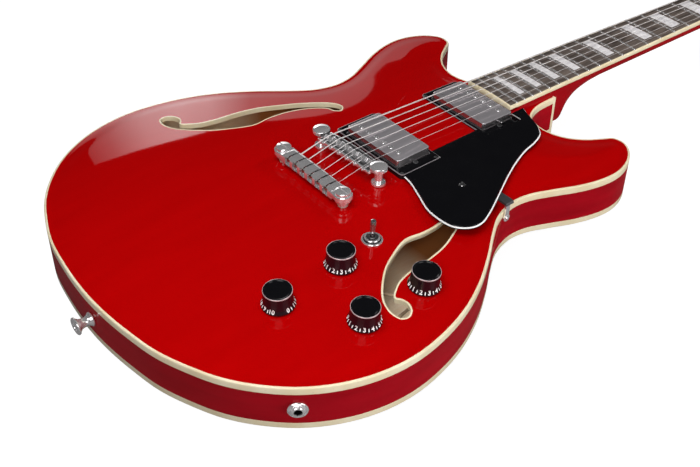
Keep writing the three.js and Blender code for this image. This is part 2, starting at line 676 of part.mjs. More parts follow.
const boardBinding = 1.8;
const crownSteps = 4;

function boardSection(x, half, bottom, top) {
  const crown = Array.from({ length: crownSteps + 1 }, (_, i) => {
    const y = THREE.MathUtils.lerp(half, -half, i / crownSteps);
    return new THREE.Vector3(x, y, top - crownDrop(y));
  });
  return [new THREE.Vector3(x, -half, bottom), new THREE.Vector3(x, half, bottom), ...crown];
}

const fretPlace = (number) => scaleLength * 2 ** (-number / 12) - bridgeToBoardEnd;

function fret(number) {
  const x = fretPlace(number);
  const half = boardHalfWidth(x) - boardBinding - glueLine - weld;
  const [low, high] = [-fretHeight / 2, fretHeight];
  const sections = Array.from({ length: crownSteps - 1 }, (_, i) => {
    const y = THREE.MathUtils.lerp(-half, half, i / (crownSteps - 2));
    const z = -crownDrop(y);
    return [[-fretWidth / 2, low], [fretWidth / 2, low], [fretWidth / 4, high], [-fretWidth / 4, high]]
      .map(([dx, dz]) => new THREE.Vector3(x + dx, y, z + dz));
  });
  return loft(sections);
}

function fretboard() {
  const inner = boardBinding + glueLine;
  const bottom = glueLine - boardThickness;
  const wood = loft([inner, boardLength].map((x) => boardSection(x, boardHalfWidth(x) - inner, bottom, 0)));
  const frets = Array.from({ length: fretCount }, (_, i) => fret(i + 1));
  return join(wood, ...frets);
}

function fretboardBinding() {
  const bottom = glueLine - boardThickness;
  const outer = loft([0, boardLength].map((x) => boardSection(x, boardHalfWidth(x), bottom, 0)));
  const wood = loft([boardBinding, boardLength + overrun].map((x) => {
    const half = boardHalfWidth(x) - boardBinding;
    return boardSection(x, half, -overrun, overrun);
  }));
  return cut(outer, wood);
}

const stringAtNut = (i) => {
  const y = stringShares[i] * stringSpreadAtNut;
  return { y, z: stringHeightAtNut - crownDrop(y) };
};

function nut() {
  const [start, end] = [boardLength + glueLine, boardLength + nutThickness];
  const topOf = stringHeightAtNut + stringDiameters.at(-1) / 2;
  const body = loft([start, end].map((x) =>
    boardSection(x, nutWidth / 2, glueLine - boardThickness, topOf)));
  const slots = stringDiameters.map((diameter, i) => {
    const { y, z } = stringAtNut(i);
    const [half, floor] = [diameter / 2 + glueLine, z - diameter / 2 - glueLine];
    return slab([start - overrun, end + overrun], [y - half, y + half], [floor, overrun]);
  });
  return cut(body, ...slots);
}

piece('fretboard', fretboard(), rosewood, neckFrame);
piece('fretboard_binding', fretboardBinding(), creamBinding, neckFrame);
piece('nut', nut(), bone, neckFrame);

// Machine heads

function tunerHousing({ side, x, y }) {
  const casingTop = -headThickness - seat;
  const casing = slab([x - tuner.casingWidth / 2, x + tuner.casingWidth / 2],
    [Math.min(y - side * tuner.casingInner, y + side * tuner.casingOuter),
      Math.max(y - side * tuner.casingInner, y + side * tuner.casingOuter)],
    [casingTop - tuner.casingHeight, casingTop]);
  const barrel = rodAt(x, y, tuner.barrelRadius, casingTop - seat, seat + tuner.nutHeight / 2, tuner.sides);
  const hexNut = rodAt(x, y, tuner.nutRadius, seat, seat + tuner.nutHeight, tuner.nutSides);
  const postBore = rodAt(x, y, tuner.postRadius + runningGap, casingTop - tuner.postSink - runningGap, overrun,
    tuner.sides);
  const shaftZ = casingTop - tuner.shaftHeight;
  const keyBore = rodBetween(new THREE.Vector3(x, y + side * (tuner.shaftInner - runningGap), shaftZ),
    new THREE.Vector3(x, y + side * overrun, shaftZ), tuner.shaftRadius + runningGap, tuner.sides);
  return cut(join(casing, barrel, hexNut), postBore, keyBore);
}

function tunerPost({ x, y }) {
  const { postRadius, waistRadius, waistStart, waistEnd, postRise, postSink } = tuner;
  return turned([
    [0, -headThickness - seat - postSink], [postRadius, -headThickness - seat - postSink], [postRadius, waistStart],
    [waistRadius, waistStart + postRadius - waistRadius], [waistRadius, waistEnd - postRadius + waistRadius],
    [postRadius, waistEnd], [postRadius, postRise], [0, postRise],
  ], tuner.sides).translate(x, y, 0);
}

function tunerKey({ side, x, y }) {
  const z = -headThickness - seat - tuner.shaftHeight;
  const keyStart = Math.abs(y) + tuner.toEdge + tuner.keyGap;
  const shaft = rodBetween(new THREE.Vector3(x, y + side * tuner.shaftInner, z),
    new THREE.Vector3(x, side * (keyStart + tuner.keyLength / 3), z), tuner.shaftRadius, tuner.sides / 2);
  const paddle = new THREE.SphereGeometry(1 / 2, tuner.keySides, tuner.keySides / 2)
    .scale(tuner.keyWidth, tuner.keyLength, tuner.keyThickness)
    .translate(x, side * (keyStart + tuner.keyLength / 2), z);
  return join(shaft, paddle);
}

for (const number of tunerNumbers) {
  const place = tunerPlace(number);
  piece(`tuner_housing_${number}`, tunerHousing(place), chrome, headFrame);
  piece(`tuner_post_${number}`, tunerPost(place), chrome, headFrame);
  piece(`tuner_key_${number}`, tunerKey(place), chrome, headFrame);
}

// Bridge

const bridgeFrame = new THREE.Group();
bridgeFrame.position.set(bridgeMiddle, 0, 0);
bridgeFrame.rotation.z = Math.atan2(bridge.slant, bridge.postSpread);
guitar.add(bridgeFrame);
bridgeFrame.updateMatrix();
const postRadiusOut = Math.hypot(bridge.postSpread, bridge.slant) / 2;
const saddle = {
  width: 9.6, thickness: 5.6, shoulder: 2.2, crest: 0.5,
  offsets: [2.2, 1.2, 0, 1, 0.2, -1],
};
const bridgeFloor = bridge.bottom + bridge.floor;
const stringAtBridge = (i) => {
  const y = stringShares[i] * stringSpreadAtBridge;
  return { y, z: stringHeightAtBridge - crownDrop(y) };
};

const earDomeShares = [[0.85, 0], [0.5, 0.8], [0, 1]];

function bridgeBody() {
  const outerHalf = bridge.troughWidth / 2 + bridge.wallThickness;
  const bar = loft(Array.from({ length: bridge.stations }, (_, i) => {
    const y = bridge.length * (i / (bridge.stations - 1) - 1 / 2);
    const top = bridge.wallTop - crownDrop(y);
    return [[-outerHalf, bridge.bottom], [-outerHalf, top], [outerHalf, top], [outerHalf, bridge.bottom]]
      .map(([dx, z]) => new THREE.Vector3(dx, y, z));
  }));
  const trough = slab([-bridge.troughWidth / 2, bridge.troughWidth / 2],
    [bridge.wallThickness - bridge.length / 2, bridge.length / 2 - bridge.wallThickness],
    [bridgeFloor, overrun]);
  const ears = [-1, 1].map((end) => join(
    turned([
      [0, bridge.earTop - bridge.earThickness], [bridge.earRadius, bridge.earTop - bridge.earThickness],
      [bridge.earRadius, bridge.earTop - bridge.earDome],
      ...earDomeShares.map(([out, rise]) => [out * bridge.earRadius, bridge.earTop + rise * bridge.earDome]),
    ], bridge.earSides).translate(0, end * postRadiusOut, 0),
    rodAt(0, end * postRadiusOut, bridge.hubRadius, bridge.bottom, bridge.earTop - bridge.earDome,
      bridge.hubSides)));
  const pinHoles = [-1, 1].map((end) => rodAt(0, end * postRadiusOut, bridge.postPin + runningGap,
    bridge.bottom - overrun, bridge.bottom + bridge.postPinLength + runningGap, bridge.postSides));
  const screws = stringDiameters.map((_, i) => {
    const { y } = stringAtBridge(i);
    const z = bridgeFloor + bridge.screwHeight;
    return join(
      rodBetween(new THREE.Vector3(-outerHalf, y, z), new THREE.Vector3(outerHalf, y, z),
        bridge.screwRadius, bridge.screwSides),
      rodBetween(new THREE.Vector3(-outerHalf - bridge.headLength, y, z),
        new THREE.Vector3(-bridge.troughWidth / 2 - bridge.wallThickness / 2, y, z),
        bridge.screwHead, bridge.screwSides));
  });
  return cut(join(cut(join(bar, ...ears), trough), ...screws), ...pinHoles);
}

function saddlePiece(i) {
  const { y, z } = stringAtBridge(i);
  const x = saddle.offsets[i];
  const [low, shoulder] = [bridgeFloor + seat, z - saddle.shoulder];
  const profile = [[-saddle.thickness / 2, low], [saddle.thickness / 2, low], [saddle.thickness / 2, shoulder],
    [saddle.crest, z], [-saddle.crest, z], [-saddle.thickness / 2, shoulder]];
  const wedge = loft([-1, 1].map((end) =>
    profile.map(([dx, dz]) => new THREE.Vector3(x + dx, y + end * saddle.width / 2, dz))));
  const radius = stringDiameters[i] / 2;
  const notch = slab([x - overrun, x + overrun], [y - radius - glueLine, y + radius + glueLine],
    [z - radius - glueLine, z + overrun]);
  const screwHole = rodBetween(new THREE.Vector3(x - overrun, y, bridgeFloor + bridge.screwHeight),
    new THREE.Vector3(x + overrun, y, bridgeFloor + bridge.screwHeight),
    bridge.screwRadius + runningGap, bridge.screwSides);
  return cut(wedge, notch, screwHole);
}

function bridgePost({ x, y }) {
  const { postPin, postRadius, wheelRadius, wheelHeight, wheelLift, threadRadius, threadReach } = bridge;
  const ground = topAt(x, y);
  const wheel = ground + wheelLift;
  const shelf = bridge.bottom - seat;
  return turned([
    [0, ground - threadReach], [threadRadius, ground - threadReach], [threadRadius, wheel], [wheelRadius, wheel],
    [wheelRadius, wheel + wheelHeight], [postRadius, wheel + wheelHeight], [postRadius, shelf],
    [postPin, shelf], [postPin, bridge.bottom + bridge.postPinLength], [0, bridge.bottom + bridge.postPinLength],
  ], bridge.postSides).translate(x, y, 0);
}

piece('bridge_body', bridgeBody(), chrome, bridgeFrame);
stringDiameters.forEach((_, i) => piece(`saddle_${i + 1}`, saddlePiece(i), chrome, bridgeFrame));
bridgePostPlaces.forEach((place) => piece(`bridge_post_${place.name}`, bridgePost(place), chrome));

// Tailpiece

const tailString = (i) => {
  const y = stringShares[i] * stringSpreadAtBridge;
  return { y, z: tailpiece.top - tailpiece.stringDrop - y * y / (2 * tailpiece.crownRadius) };
};
const earLevel = stud.headHeight + seat;

function tailBar() {
  const { width, height, top, round, crownRadius, stations, length } = tailpiece;
  const half = width / 2;
  const corners = [[-half, -round], [-half + round, 0], [half - round, 0], [half, -round],
    [half, round - height], [half - round, -height], [round - half, -height], [-half, round - height]];
  const sections = Array.from({ length: stations }, (_, i) => {
    const y = THREE.MathUtils.lerp(-length / 2, length / 2, i / (stations - 1));
    const crown = top - y * y / (2 * crownRadius);
    return corners.map(([dx, dz]) => new THREE.Vector3(dx - tailpiece.toBridge, y, crown + dz));
  });
  return loft(sections);
}

function tailpieceBody() {
  const studTop = tailpiece.top + stud.headHeight / 3;
  const [earHigh, earLow] = [studTop - earLevel, studTop - earLevel - tailpiece.earThickness];
  const earRoot = tailpiece.length / 2 - tailpiece.round;
  const ears = studPlaces.map(({ x, y }) => join(
    rodAt(x, y, tailpiece.earRadius, earLow, earHigh, tailpiece.earSides),
    slab([x - tailpiece.width / 2, x + tailpiece.width / 2],
      [Math.min(y, Math.sign(y) * earRoot), Math.max(y, Math.sign(y) * earRoot)],
      [earLow, earHigh])));
  const slots = studPlaces.map(({ x, y }) => join(
    rodAt(x, y, stud.neckRadius + runningGap, earLow - overrun, earHigh + overrun, stud.sides),
    slab([x, x + overrun], [y - stud.neckRadius - runningGap, y + stud.neckRadius + runningGap],
      [earLow - overrun, earHigh + overrun])));
  const back = -tailpiece.toBridge - tailpiece.width / 2;
  const pockets = stringDiameters.map((_, i) => {
    const { y, z } = tailString(i);
    return slab([back - overrun, back + tailpiece.pocketDepth],
      [y - tailpiece.pocketWidth / 2, y + tailpiece.pocketWidth / 2],
      [z - tailpiece.pocketHeight, z + tailpiece.holeRadius + seat]);
  });
  const holes = stringDiameters.map((_, i) => {
    const { y, z } = tailString(i);
    return rodBetween(new THREE.Vector3(back, y, z), new THREE.Vector3(back + tailpiece.width + overrun, y, z),
      tailpiece.holeRadius, bridge.screwSides);
  });
  const lanes = stringDiameters.map((_, i) => {
    const { y, z } = tailString(i);
    return slab([back - overrun, back + tailpiece.width + overrun],
      [y - tailpiece.slotWidth / 2, y + tailpiece.slotWidth / 2], [z, z + overrun]);
  });
  return cut(join(tailBar(), ...ears), ...slots, ...pockets, ...holes, ...lanes);
}

function tailStud({ x, y }) {
  const { headRadius, headHeight, neckRadius, flangeRadius, flangeHeight, stemRadius, stemReach } = stud;
  const top = tailpiece.top + headHeight / 3;
  const neckTop = top - headHeight;
  const neckLow = top - earLevel - tailpiece.earThickness - seat;
  const ground = topAt(x, y);
  const body = turned([
    [0, ground - stemReach], [stemRadius, ground - stemReach], [stemRadius, neckLow - flangeHeight],
    [flangeRadius, neckLow - flangeHeight], [flangeRadius, neckLow], [neckRadius, neckLow], [neckRadius, neckTop],
    [headRadius, neckTop], [headRadius, top - stud.slotDepth / 2], [headRadius - stud.slotDepth / 2, top], [0, top],
  ], stud.sides).translate(x, y, 0);
  return cut(body, slab([x - stud.slotWidth / 2, x + stud.slotWidth / 2], [y - overrun, y + overrun],
    [top - stud.slotDepth, top + overrun]));
}

piece('tailpiece', tailpieceBody(), chrome);
studPlaces.forEach((place) => piece(`tailpiece_stud_${place.name}`, tailStud(place), chrome));

// Pickups

function roundedRectangle(halfX, halfY, radius) {
  const shape = new THREE.Shape();
  shape.moveTo(-halfX + radius, -halfY);
  shape.absarc(halfX - radius, radius - halfY, radius, -Math.PI / 2, 0);
  shape.absarc(halfX - radius, halfY - radius, radius, 0, Math.PI / 2);
  shape.absarc(radius - halfX, halfY - radius, radius, Math.PI / 2, Math.PI);
  shape.absarc(radius - halfX, radius - halfY, radius, Math.PI, Math.PI * 3 / 2);
  return shape.getPoints(2);
}

function pickupFrame({ x, ringRise, tilt }) {
  const frame = new THREE.Group();
  frame.position.set(x, 0, topAt(x, 0) + ringRise);
  frame.rotation.y = tilt;
  guitar.add(frame);
  frame.updateMatrixWorld(true);
  return frame;
}

function pickupBody({ coverRise: top, poleSide }) {
  const cover = prism(roundedRectangle(pickup.width / 2, pickup.length / 2, pickup.round),
    top - pickup.depth, top);
  const poles = stringShares.map((share) => rodAt(poleSide * pickup.poleOffset, share * pickup.poleSpread,
    pickup.poleRadius, top - pickup.round, top + pickup.poleRise, pickup.poleSides));
  const legTop = -pickup.legDepth + pickup.legThickness;
  const leg = slab([-pickup.legWidth / 2, pickup.legWidth / 2], [-pickup.legLength / 2, pickup.legLength / 2],
    [-pickup.legDepth, legTop]);
  const legHoles = [-1, 1].map((end) => rodAt(0, end * pickup.screwSpread / 2, pickup.screwRadius + runningGap,
    -overrun, 0, bridge.screwSides));
  return cut(join(cover, ...poles, leg), ...legHoles);
}

function pickupRing(place, frame) {
  const window = roundedRectangle(pickup.width / 2 + ring.opening, pickup.length / 2 + ring.opening, pickup.round);
  const wall = prism(roundedRectangle(ring.width / 2, ring.length / 2, ring.round), -ring.depth, 0);
  const shaped = cut(wall, prism(window, -ring.depth - overrun, overrun),
    inFrame(spaceUnderTop(seat), frame));
  const screws = [-1, 1].map((end) => rodAt(0, end * pickup.screwSpread / 2, pickup.screwRadius,
    -ring.screwReach, ring.headRise / 2, bridge.screwSides));
  const heads = [-1, 1].map((end) => rodAt(0, end * pickup.screwSpread / 2, ring.screwHead, -ring.headRise,
    ring.headRise, ring.screwSides));
  return join(shaped, ...screws, ...heads);
}

for (const place of pickupPlaces) {
  const frame = pickupFrame(place);
  piece(`pickup_${place.name}`, pickupBody(place), chrome, frame);
  piece(`pickup_ring_${place.name}`, pickupRing(place, frame), blackPlastic, frame);
}

// Pickguard and its bracket

const guard = {
  length: 180, width: 102, start: 32, thickness: 2.6, height: 10.4, drop: 3.4, bevel: 1, steps: 40,
};
const guardTilt = Math.atan2(guard.drop, guard.length);
// Outer edge from the bridge pickup's ring round to the neck: shares of the guard's length and width.
const guardShares = [
  [0.097, 0.133], [0.087, 0.234], [0.047, 0.424], [0.011, 0.593], [0.004, 0.749], [0.014, 0.870],
  [0.043, 0.942], [0.091, 0.993], [0.147, 0.995], [0.221, 0.943], [0.303, 0.867], [0.396, 0.775],
  [0.504, 0.669], [0.616, 0.573], [0.721, 0.502], [0.811, 0.463], [0.883, 0.408], [0.914, 0.350],
  [0.948, 0.233], [0.974, 0.102], [1.000, 0],
];

const guardFrame = new THREE.Group();
guardFrame.position.set(0, 0, guard.height);
guardFrame.rotation.y = guardTilt;
guitar.add(guardFrame);
guardFrame.updateMatrixWorld(true);

function guardOutline() {
  const points = guardShares.map(([along, across]) =>
    new THREE.Vector3(along * guard.length, -(guard.start + across * guard.width), 0));
  const curve = new THREE.CatmullRomCurve3(points, false, 'centripetal');
  return [new THREE.Vector2(guardShares[0][0] * guard.length, -guard.start),
    ...curve.getPoints(guard.steps).map(({ x, y }) => new THREE.Vector2(x, y))];
}

const bracket = {
  x: 66, armWidth: 9, armThickness: 2, armStart: 40, drop: 19, legShift: 2.2, legWidth: 4.6, footRadius: 3.4,
  gap: 0.5, footThickness: 1.6, screwRadius: 1.9, screwRise: 1.4, sides: 10,
};

function pickguard() {
  const loop = guardOutline();
  const level = guard.thickness - guard.bevel;
  const plate = join(prism(loop, 0, level), bevelledTop(loop, level));
  const windows = pickupPlaces.map(({ x }) => {
    const [halfX, halfY] = [ring.width / 2 + glueLine * 2, ring.length / 2 + glueLine * 2];
    return slab([x - halfX, x + halfX], [-halfY, halfY], [-overrun, overrun]);
  });
  return cut(plate, ...windows);
}

function bevelledTop(loop, level) {
  const clockwise = THREE.ShapeUtils.isClockWise(loop);
  const inner = inset(loop, clockwise ? -guard.bevel : guard.bevel);
  const points = [...loop.map(({ x, y }) => new THREE.Vector3(x, y, level)),
    ...inner.map(({ x, y }) => new THREE.Vector3(x, y, guard.thickness))];
  const size = loop.length;
  const index = [];
  for (let i = 0; i < size; i += 1) {
    const j = (i + 1) % size;
    index.push(i, j, size + j, i, size + j, size + i);
  }
  for (const [a, b, c] of THREE.ShapeUtils.triangulateShape(loop, [])) index.push(a, c, b);
  for (const [a, b, c] of THREE.ShapeUtils.triangulateShape(inner, [])) index.push(size + a, size + b, size + c);
  return new THREE.BufferGeometry().setFromPoints(points).setIndex(index);
}

function waistEdge(x) {
  const [start, end] = trebleEdge(x);
  return start.y + (end.y - start.y) * (x - start.x) / (end.x - start.x);
}

function guardBracket() {
  const { x, armWidth, armThickness, armStart, drop, footRadius, gap, footThickness } = bracket;
  const legX = x - bracket.legShift;
  const edge = Math.min(waistEdge(x - armWidth / 2), waistEdge(x), waistEdge(x + armWidth / 2)) - gap;
  const top = guard.height - x * Math.sin(guardTilt) - seat - armThickness * Math.sin(guardTilt) - seat;
  const inside = armStart - guard.start - guard.width;
  const arm = slab([x - armWidth / 2, x + armWidth / 2], [edge - footThickness, inside], [top - armThickness, top]);
  const footZ = top - drop + footRadius;
  const leg = slab([legX - bracket.legWidth / 2, legX + bracket.legWidth / 2], [edge - footThickness, edge],
    [footZ, top]);
  const foot = rodBetween(new THREE.Vector3(legX, edge - footThickness, footZ),
    new THREE.Vector3(legX, edge, footZ), footRadius, bracket.sides);
  const screw = rodBetween(new THREE.Vector3(legX, edge - footThickness - bracket.screwRise, footZ),
    new THREE.Vector3(legX, edge - footThickness / 2, footZ), bracket.screwRadius, bracket.sides);
  return join(arm, leg, foot, screw);
}

piece('pickguard', pickguard(), blackPlastic, guardFrame);
piece('pickguard_bracket', guardBracket(), chrome);

// Controls

function knobBody() {
  const { height, topRadius, waistRadius, skirtRadius, skirtHeight, skirtEdge, cavityRadius, cavityHeight } = knob;
  const bore = pot.shaftRadius + runningGap;
  return turned([
    [0, knob.boreDepth], [bore, knob.boreDepth], [bore, cavityHeight], [cavityRadius, cavityHeight],
    [cavityRadius, 0], [skirtRadius, 0], [skirtRadius, skirtEdge], [waistRadius, skirtHeight],
    [topRadius, height - skirtEdge], [topRadius - skirtEdge, height], [0, height],
  ], knob.sides);
}

function potStack() {
  const { bodyRadius, bodyHeight, bushingRadius, nutRadius, nutHeight, lift, shaftRadius, shaftRise } = pot;
  const bodyTop = -plateThickness - pot.gap;
  return turned([
    [0, bodyTop - bodyHeight], [bodyRadius, bodyTop - bodyHeight], [bodyRadius, bodyTop], [bushingRadius, bodyTop],
    [bushingRadius, lift], [nutRadius, lift], [nutRadius, lift + nutHeight], [shaftRadius, lift + nutHeight],
    [shaftRadius, shaftRise], [0, shaftRise],
  ], pot.sides);
}

function toggleBody() {
  const top = -plateThickness - pot.gap;
  const [halfX, halfY] = [toggle.bodyWidth / 2, toggle.bodyLength / 2];
  return cut(join(
    slab([-halfX, halfX], [-halfY, halfY], [top - toggle.bodyHeight, top]),
    rod(toggle.bushingRadius, top - pot.gap, toggle.bushingRise, toggle.sides),
    turned([
      [0, seat], [toggle.nutRadius, seat], [toggle.nutRadius, seat + toggle.nutEdge],
      [toggle.nutTopRadius, seat + toggle.nutHeight], [0, seat + toggle.nutHeight],
    ], toggle.sides)),
  rod(toggle.boreRadius, toggle.bushingRise - toggle.boreDepth, overrun, toggle.sides));
}

function toggleLever() {
  const foot = toggle.bushingRise - toggle.boreDepth + seat;
  return turned([[0, foot], [toggle.leverRadius, foot], [toggle.leverRadius, toggle.bushingRise],
    [toggle.tipRadius, toggle.leverLength - toggle.tipLength],
    [toggle.tipRadius, toggle.leverLength - toggle.leverRadius], [toggle.leverRadius, toggle.leverLength],
    [0, toggle.leverLength]], toggle.sides);
}

function jackBody() {
  const { barrelRadius, boreRadius, nutRadius, nutHeight, reach, bodyRadius, bodyStart, sides } = jack;
  return cut(join(rod(barrelRadius, -bodyStart - seat, seat + nutHeight, sides),
    rod(nutRadius, seat, seat + nutHeight, sides), rod(bodyRadius, -reach, -bodyStart, sides)),
  rod(boreRadius, bodyStart / 2 - reach, overrun, sides));
}

const placed = (shape, frame) => geometryOf(shape).applyMatrix4(frame.matrix);

function wires() {
  const low = -plateThickness - pot.gap - pot.bodyHeight / 2;
  const potAt = (i) => new THREE.Vector3(0, 0, low).applyMatrix4(knobFrames[i].matrix);
  const switchAt = new THREE.Vector3(0, 0, -plateThickness - pot.gap - toggle.bodyHeight / 2)
    .applyMatrix4(toggleFrame.matrix);
  const jackAt = new THREE.Vector3(0, 0, (jack.bodyStart - jack.reach) / 2 - jack.bodyStart)
    .applyMatrix4(jackFrame().matrix);
  const runs = [[potAt(0), potAt(1)], [potAt(1), potAt(2)], [potAt(2), potAt(3)], [potAt(1), switchAt],
    [potAt(3), jackAt]];
  return runs.map(([start, end]) => {
    const middle = start.clone().lerp(end, 1 / 2);
    middle.z -= wire.sag;
    return tube([start, middle, end], wire.radius, wire.sides, wire.steps);
  });
}

function controlHarness() {
  return join(...wires(), ...knobFrames.map((frame) => placed(potStack(), frame)),
    placed(toggleBody(), toggleFrame), placed(jackBody(), jackFrame()));
}

Object.keys(knobShares).forEach((name, i) => {
  piece(`knob_${name}`, knobBody().translate(0, 0, knob.lift), knobPlastic, knobFrames[i]);
});
piece('toggle_lever', toggleLever(), chrome, toggleFrame);
piece('control_harness', controlHarness(), nickelSilver);

// Strap buttons

function strapButton(origin, direction) {
  const { baseRadius, waistRadius, headRadius, length, baseHeight, headHeight, screwRadius, screwReach } = strap;
  return aimed(turned([
    [0, -screwReach], [screwRadius, -screwReach], [screwRadius, seat], [baseRadius, seat], [baseRadius, baseHeight],
    [waistRadius, baseHeight + headHeight], [waistRadius, length - headHeight - baseHeight],
    [headRadius, length - headHeight / 2], [headRadius, length], [0, length],
  ], strap.sides), direction, origin);
}

piece('strap_button_butt', strapButton(new THREE.Vector3(-buttToBridge, 0, -rimDepth / 2),
  new THREE.Vector3(-1, 0, 0)), chrome);
piece('strap_button_heel', strapButton(heelButton(), heelwards), chrome);

// Strings

const ballRadius = 1.8;
const windings = { turns: 2.25, steps: 8, sides: 5, pitchGap: 0.5, clearance: 0.15 };

function stringPath(i) {
  const radius = stringDiameters[i] / 2;
  const tail = tailString(i);
  const crest = stringAtBridge(i);
  const saddleAt = new THREE.Vector3(saddle.offsets[i], crest.y, crest.z).applyMatrix4(bridgeFrame.matrix);
  const nutPoint = stringAtNut(i);
  const { side, x, y } = tunerPlace(i + 1);
  const round = (tuner.waistRadius + radius + windings.clearance) / Math.cos(Math.PI / windings.steps);
  const pitch = stringDiameters[i] + windings.pitchGap;
  const level = tuner.waistStart + radius + windings.clearance + tuner.postRadius - tuner.waistRadius;
  const turnsPoints = [];
  const count = Math.round(windings.turns * windings.steps);
  for (let s = 0; s <= count; s += 1) {
    const angle = -side * (Math.PI / 2) + side * 2 * Math.PI * s / windings.steps;
    turnsPoints.push(fromHead(x + round * Math.cos(angle), y + round * Math.sin(angle),
      level + pitch * s / windings.steps));
  }
  return [
    new THREE.Vector3(-tailpiece.toBridge - tailpiece.width / 2 + ballRadius, tail.y, tail.z),
    new THREE.Vector3(tailpiece.width / 2 - tailpiece.toBridge, tail.y, tail.z),
    saddleAt,
    fromNeck(boardLength + nutThickness + seat, nutPoint.y, nutPoint.z),
    ...turnsPoints,
  ];
}

function guitarString(i) {
  const radius = stringDiameters[i] / 2;
  const points = stringPath(i);
  const sections = points.map((point, s) => {
    const before = points[Math.max(s - 1, 0)];
    const after = points[Math.min(s + 1, points.length - 1)];
    const along = after.clone().sub(before).normalize();
    const across = new THREE.Vector3().crossVectors(up, along).normalize();
    const rise = new THREE.Vector3().crossVectors(along, across);
    return Array.from({ length: windings.sides }, (_, k) => {
      const angle = 2 * Math.PI * k / windings.sides;
      return point.clone().addScaledVector(across, radius * Math.cos(angle))
        .addScaledVector(rise, radius * Math.sin(angle));
    });
  });
  return loft(sections);
}

// Least gap between the turns of a string's winding, measured between points over half a turn apart.
function windingGap(i) {
  const points = stringPath(i);
  const apart = windings.steps / 2;
  const gaps = points.flatMap((point, s) => points.slice(s + apart + 1).map((other) => point.distanceTo(other)));
  return Math.min(...gaps) - stringDiameters[i];
}

stringDiameters.forEach((_, i) => piece(`string_${i + 1}`, guitarString(i), steelWire));
const leastGap = Math.min(...stringDiameters.map((_, i) => windingGap(i)));
console.log(`least gap in a string's winding: ${leastGap.toFixed(2)} mm`);

// Stand the whole guitar over its own origin: the middle of its footprint, at its lowest point.
const extent = new THREE.Box3().setFromObject(guitar);
const middle = extent.getCenter(new THREE.Vector3());
guitar.position.set(-middle.x, -middle.y, -extent.min.z);

export default guitar;
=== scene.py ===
# %% [markdown]
# # A semi-hollow electric guitar, built piece by piece
# The guitar lies on its back with its neck running away from the camera, as in a shop photograph. Its
# measured solids are already packed as a frame, so this lesson dresses them: smooth plates, real hardware
# and lacquer. The frame is loaded first, because every piece that follows rides on one of its bodies.

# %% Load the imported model
import math
import bmesh
import bpy
import numpy as np
from mathutils import Matrix, Vector


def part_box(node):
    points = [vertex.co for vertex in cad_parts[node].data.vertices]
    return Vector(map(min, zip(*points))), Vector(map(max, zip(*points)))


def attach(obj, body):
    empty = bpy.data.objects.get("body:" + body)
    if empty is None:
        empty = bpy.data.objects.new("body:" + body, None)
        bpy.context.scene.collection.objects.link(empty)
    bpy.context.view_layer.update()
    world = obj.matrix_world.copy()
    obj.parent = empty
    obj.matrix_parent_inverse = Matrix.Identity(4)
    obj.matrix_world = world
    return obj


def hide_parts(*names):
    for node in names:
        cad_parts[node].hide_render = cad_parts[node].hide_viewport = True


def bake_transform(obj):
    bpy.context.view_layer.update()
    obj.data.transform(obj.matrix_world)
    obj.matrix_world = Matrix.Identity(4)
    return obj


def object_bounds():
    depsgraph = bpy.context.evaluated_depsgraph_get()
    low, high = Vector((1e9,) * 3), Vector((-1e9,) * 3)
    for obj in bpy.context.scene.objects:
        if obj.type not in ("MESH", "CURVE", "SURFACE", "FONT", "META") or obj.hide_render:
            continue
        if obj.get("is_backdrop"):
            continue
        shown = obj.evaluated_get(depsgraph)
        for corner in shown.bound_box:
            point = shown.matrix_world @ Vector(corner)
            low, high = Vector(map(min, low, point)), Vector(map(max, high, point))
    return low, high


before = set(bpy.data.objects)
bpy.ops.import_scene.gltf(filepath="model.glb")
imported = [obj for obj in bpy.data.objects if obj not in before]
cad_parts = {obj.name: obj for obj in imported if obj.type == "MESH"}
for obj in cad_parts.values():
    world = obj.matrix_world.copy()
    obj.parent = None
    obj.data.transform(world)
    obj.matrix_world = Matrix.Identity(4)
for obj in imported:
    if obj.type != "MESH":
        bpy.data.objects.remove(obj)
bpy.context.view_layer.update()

# %% [markdown]
# Guitar makers measure from the bridge line, so the lesson does too: x = 0 there, y = 0 on the centre line
# and z = 0 at the top edge of the sides, all in millimetres. One matrix, read off the frame, turns that into
# the metres of the finished scene. Typing metres everywhere would work too, but a 0.28 mm string is easier
# to read as 0.28.

# %% Sizes and the way into the scene
SCALE_LENGTH = 628.0
BODY_LENGTH, BODY_WIDTH = 484.0, 408.0
BRIDGE_TO_JOINT = 228.0
BUTT_TO_BRIDGE = BODY_LENGTH + 7.8 - BRIDGE_TO_JOINT
JOINT_WIDTH = 61.2
RIM_DEPTH, RIM_WALL, PLATE = 42.5, 7.0, 4.5
TOP_ARCH = BACK_ARCH = 9.0
ARCH_REACH, ARCH_EASE = 150.0, 16.0
BINDING_WIDTH, BINDING_DEPTH = 2.0, 6.3

binding_low, binding_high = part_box("body_binding")
INTO_ROW = (Matrix.Translation((binding_low.x + BUTT_TO_BRIDGE / 1000, 0, binding_high.z))
            @ Matrix.Scale(0.001, 4))
print("bridge line in the scene, metres:", [round(c, 4) for c in INTO_ROW.translation])

# %% [markdown]
# The neck leans back from the body by a few degrees, and the head leans back from the neck. A maker lays
# each out flat on its own bench, so each gets its own matrix: x runs along the board from its body end, and
# z = 0 is the top of the wood. The bridge is turned a little for tuning, so it has one as well.

# %% Benches for the neck, the head and the bridge
BOARD_START = BRIDGE_TO_JOINT - 62.3
BOARD_LENGTH = SCALE_LENGTH - BOARD_START
BOARD_THICKNESS, BOARD_RADIUS = 5.2, 305.0
BOARD_END_WIDTH, NUT_WIDTH, NUT_THICKNESS = 57.4, 43.0, 5.0
NECK_ANGLE, HEAD_ANGLE = math.radians(2.89), math.radians(14)

